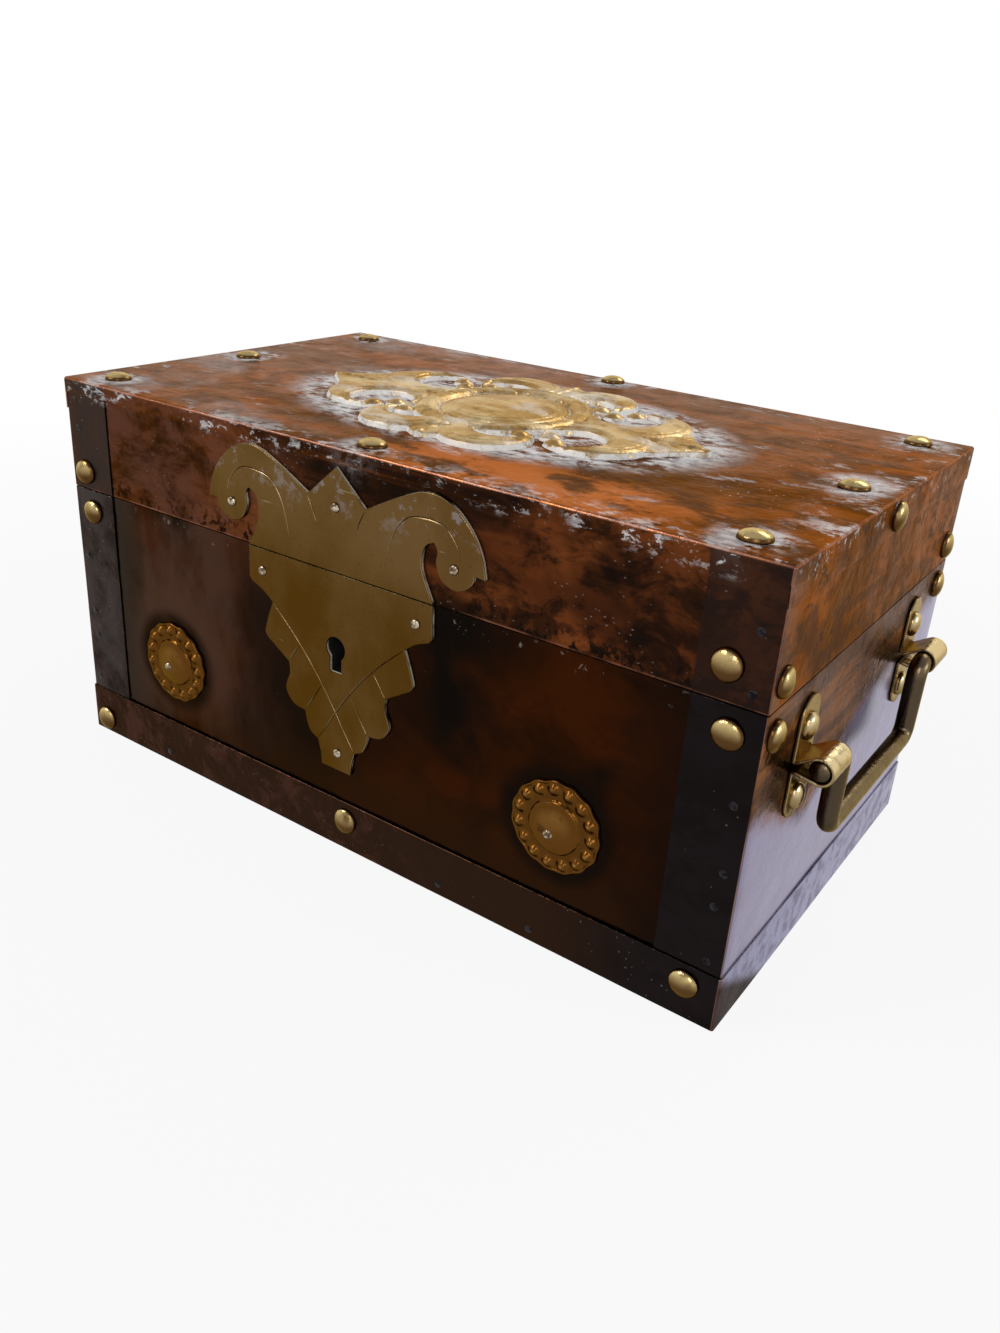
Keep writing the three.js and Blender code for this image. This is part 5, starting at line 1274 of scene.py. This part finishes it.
# Straps and bails get a painted highlight where they look up and painted shade where they look down.
strap_finish = brass(
    "strap_brass", STRAP_BRASS, STRAP_WORN_LIT, STRAP_GRIME_SHADE, 0.18, 0.0016, 0.0045,
    lambda along, out, rise: abs(along) - wall_x,
)
bail_finish = brass(
    "bail_bronze", BRONZE, BRONZE_WORN_LIT, BRONZE_GRIME_SHADE, 0.22, 0.0095, 0.0145,
    lambda along, out, rise: abs(along) - wall_x,
)
for name, side in (("right", 1), ("left", -1)):
    bail(name + "_bail", side)
    for node in (name + "_strap_front", name + "_strap_back"):
        strap(node, side, at(node)[2][1])


# The hinge is a long brass one along the back: two leaves let into the seam, whose rolled knuckles
# take turns on a pin.
KNUCKLE_RADIUS, HINGE_PIN_RADIUS, KNUCKLES, KNUCKLE_GAP, LEAF = 0.0026, 0.0012, 9, 0.0004, 0.001
ROD_EASING, SLAB_EASING, HINGE_SIDES = 0.12, 0.25, 24

leaf_low, leaf_high = at("hinge_leaf_body")[:2]
pin_low, pin_high, pin_middle = at("hinge_pin")
# The hinge gets a painted highlight where it looks up and painted shade where it looks down.
hinge_finish = brass(
    "hinge_brass", PLATE_BRASS, PLATE_BRIGHT, STRAP_GRIME_SHADE, 0.25, 0.0005, 0.0055,
    lambda along, out, rise: out - cap_high[1],
)


def rod(start, end, radius):
    """The points and faces of a round bar along the hinge, its ends eased."""
    ease = ROD_EASING * radius
    long = end - start
    profile = [(radius - ease, 0), (radius, ease), (radius, long - ease), (radius - ease, long)]
    return turned(profile, HINGE_SIDES, np.array((start, *pin_middle[1:])), (1, 0, 0))


def slab(x0, x1, y0, y1, z0, z1):
    """The points and faces of a flat bar with its outer edges eased."""
    ease = SLAB_EASING * (z1 - z0)
    ring, outward = rounded_ring((x1 - x0) / 2, (y1 - y0) / 2, ease, x1 - x0)
    levels = [(-ease, z0), (0, z0 + ease), (0, z1 - ease), (-ease, z1)]
    rows = [np.column_stack([ring + outward * pull, np.full(len(ring), z)]) for pull, z in levels]
    return tube(np.stack(rows) + ((x0 + x1) / 2, (y0 + y1) / 2, 0))


pitch = (leaf_high[0] - leaf_low[0]) / KNUCKLES
for node, body, first in (("hinge_leaf_body", "box", 0), ("hinge_leaf_lid", "lid", 1)):
    level = (SEAM_LOW - LEAF, SEAM_LOW) if body == "box" else (SEAM_HIGH, SEAM_HIGH + LEAF)
    shells = [slab(leaf_low[0], leaf_high[0], at(node)[0][1], cap_high[1], *level)]
    for number in range(first, KNUCKLES, 2):
        start = leaf_low[0] + number * pitch + KNUCKLE_GAP / 2
        end = start + pitch - KNUCKLE_GAP
        shells.append(slab(start, end, cap_high[1] - LEAF, pin_middle[1], *level))
        shells.append(rod(start, end, KNUCKLE_RADIUS))
    fit(node + "_rolled", joined(*shells), hinge_finish, body, "brass", node)
hinge_rod = rod(pin_low[0], pin_high[0], HINGE_PIN_RADIUS)
fit("hinge_pin_round", hinge_rod, hinge_finish, "box", "brass", "hinge_pin")


# The lock inside the front is of iron plate, dark and lightly rusted, with its bolt, and a link
# plate in the lid whose staple drops into it.
IRON, IRON_WORN, RUST_RED = (0.085, 0.080, 0.078), (0.26, 0.25, 0.24), (0.10, 0.035, 0.012)

iron_finish, place = new_finish("old_iron")
clouds = place.noise(70.0, 5.0, 0.62)
pits = place.noise(600.0, 4.0, 0.7)
rust = (clouds * 0.4 + pits * 0.6).between(0.50, 0.60)
colour = clouds.between(0.35, 0.62).tint(IRON, IRON_WORN).under((rust * 0.8, RUST_RED))
coat_with(place, colour, rust * 0.35 + 0.35, 1 - rust * 0.7, clouds * 0.4 + pits * 0.6, 0.0006)
dress(iron_finish, "lock_case", "lock_bolt", "link_plate")
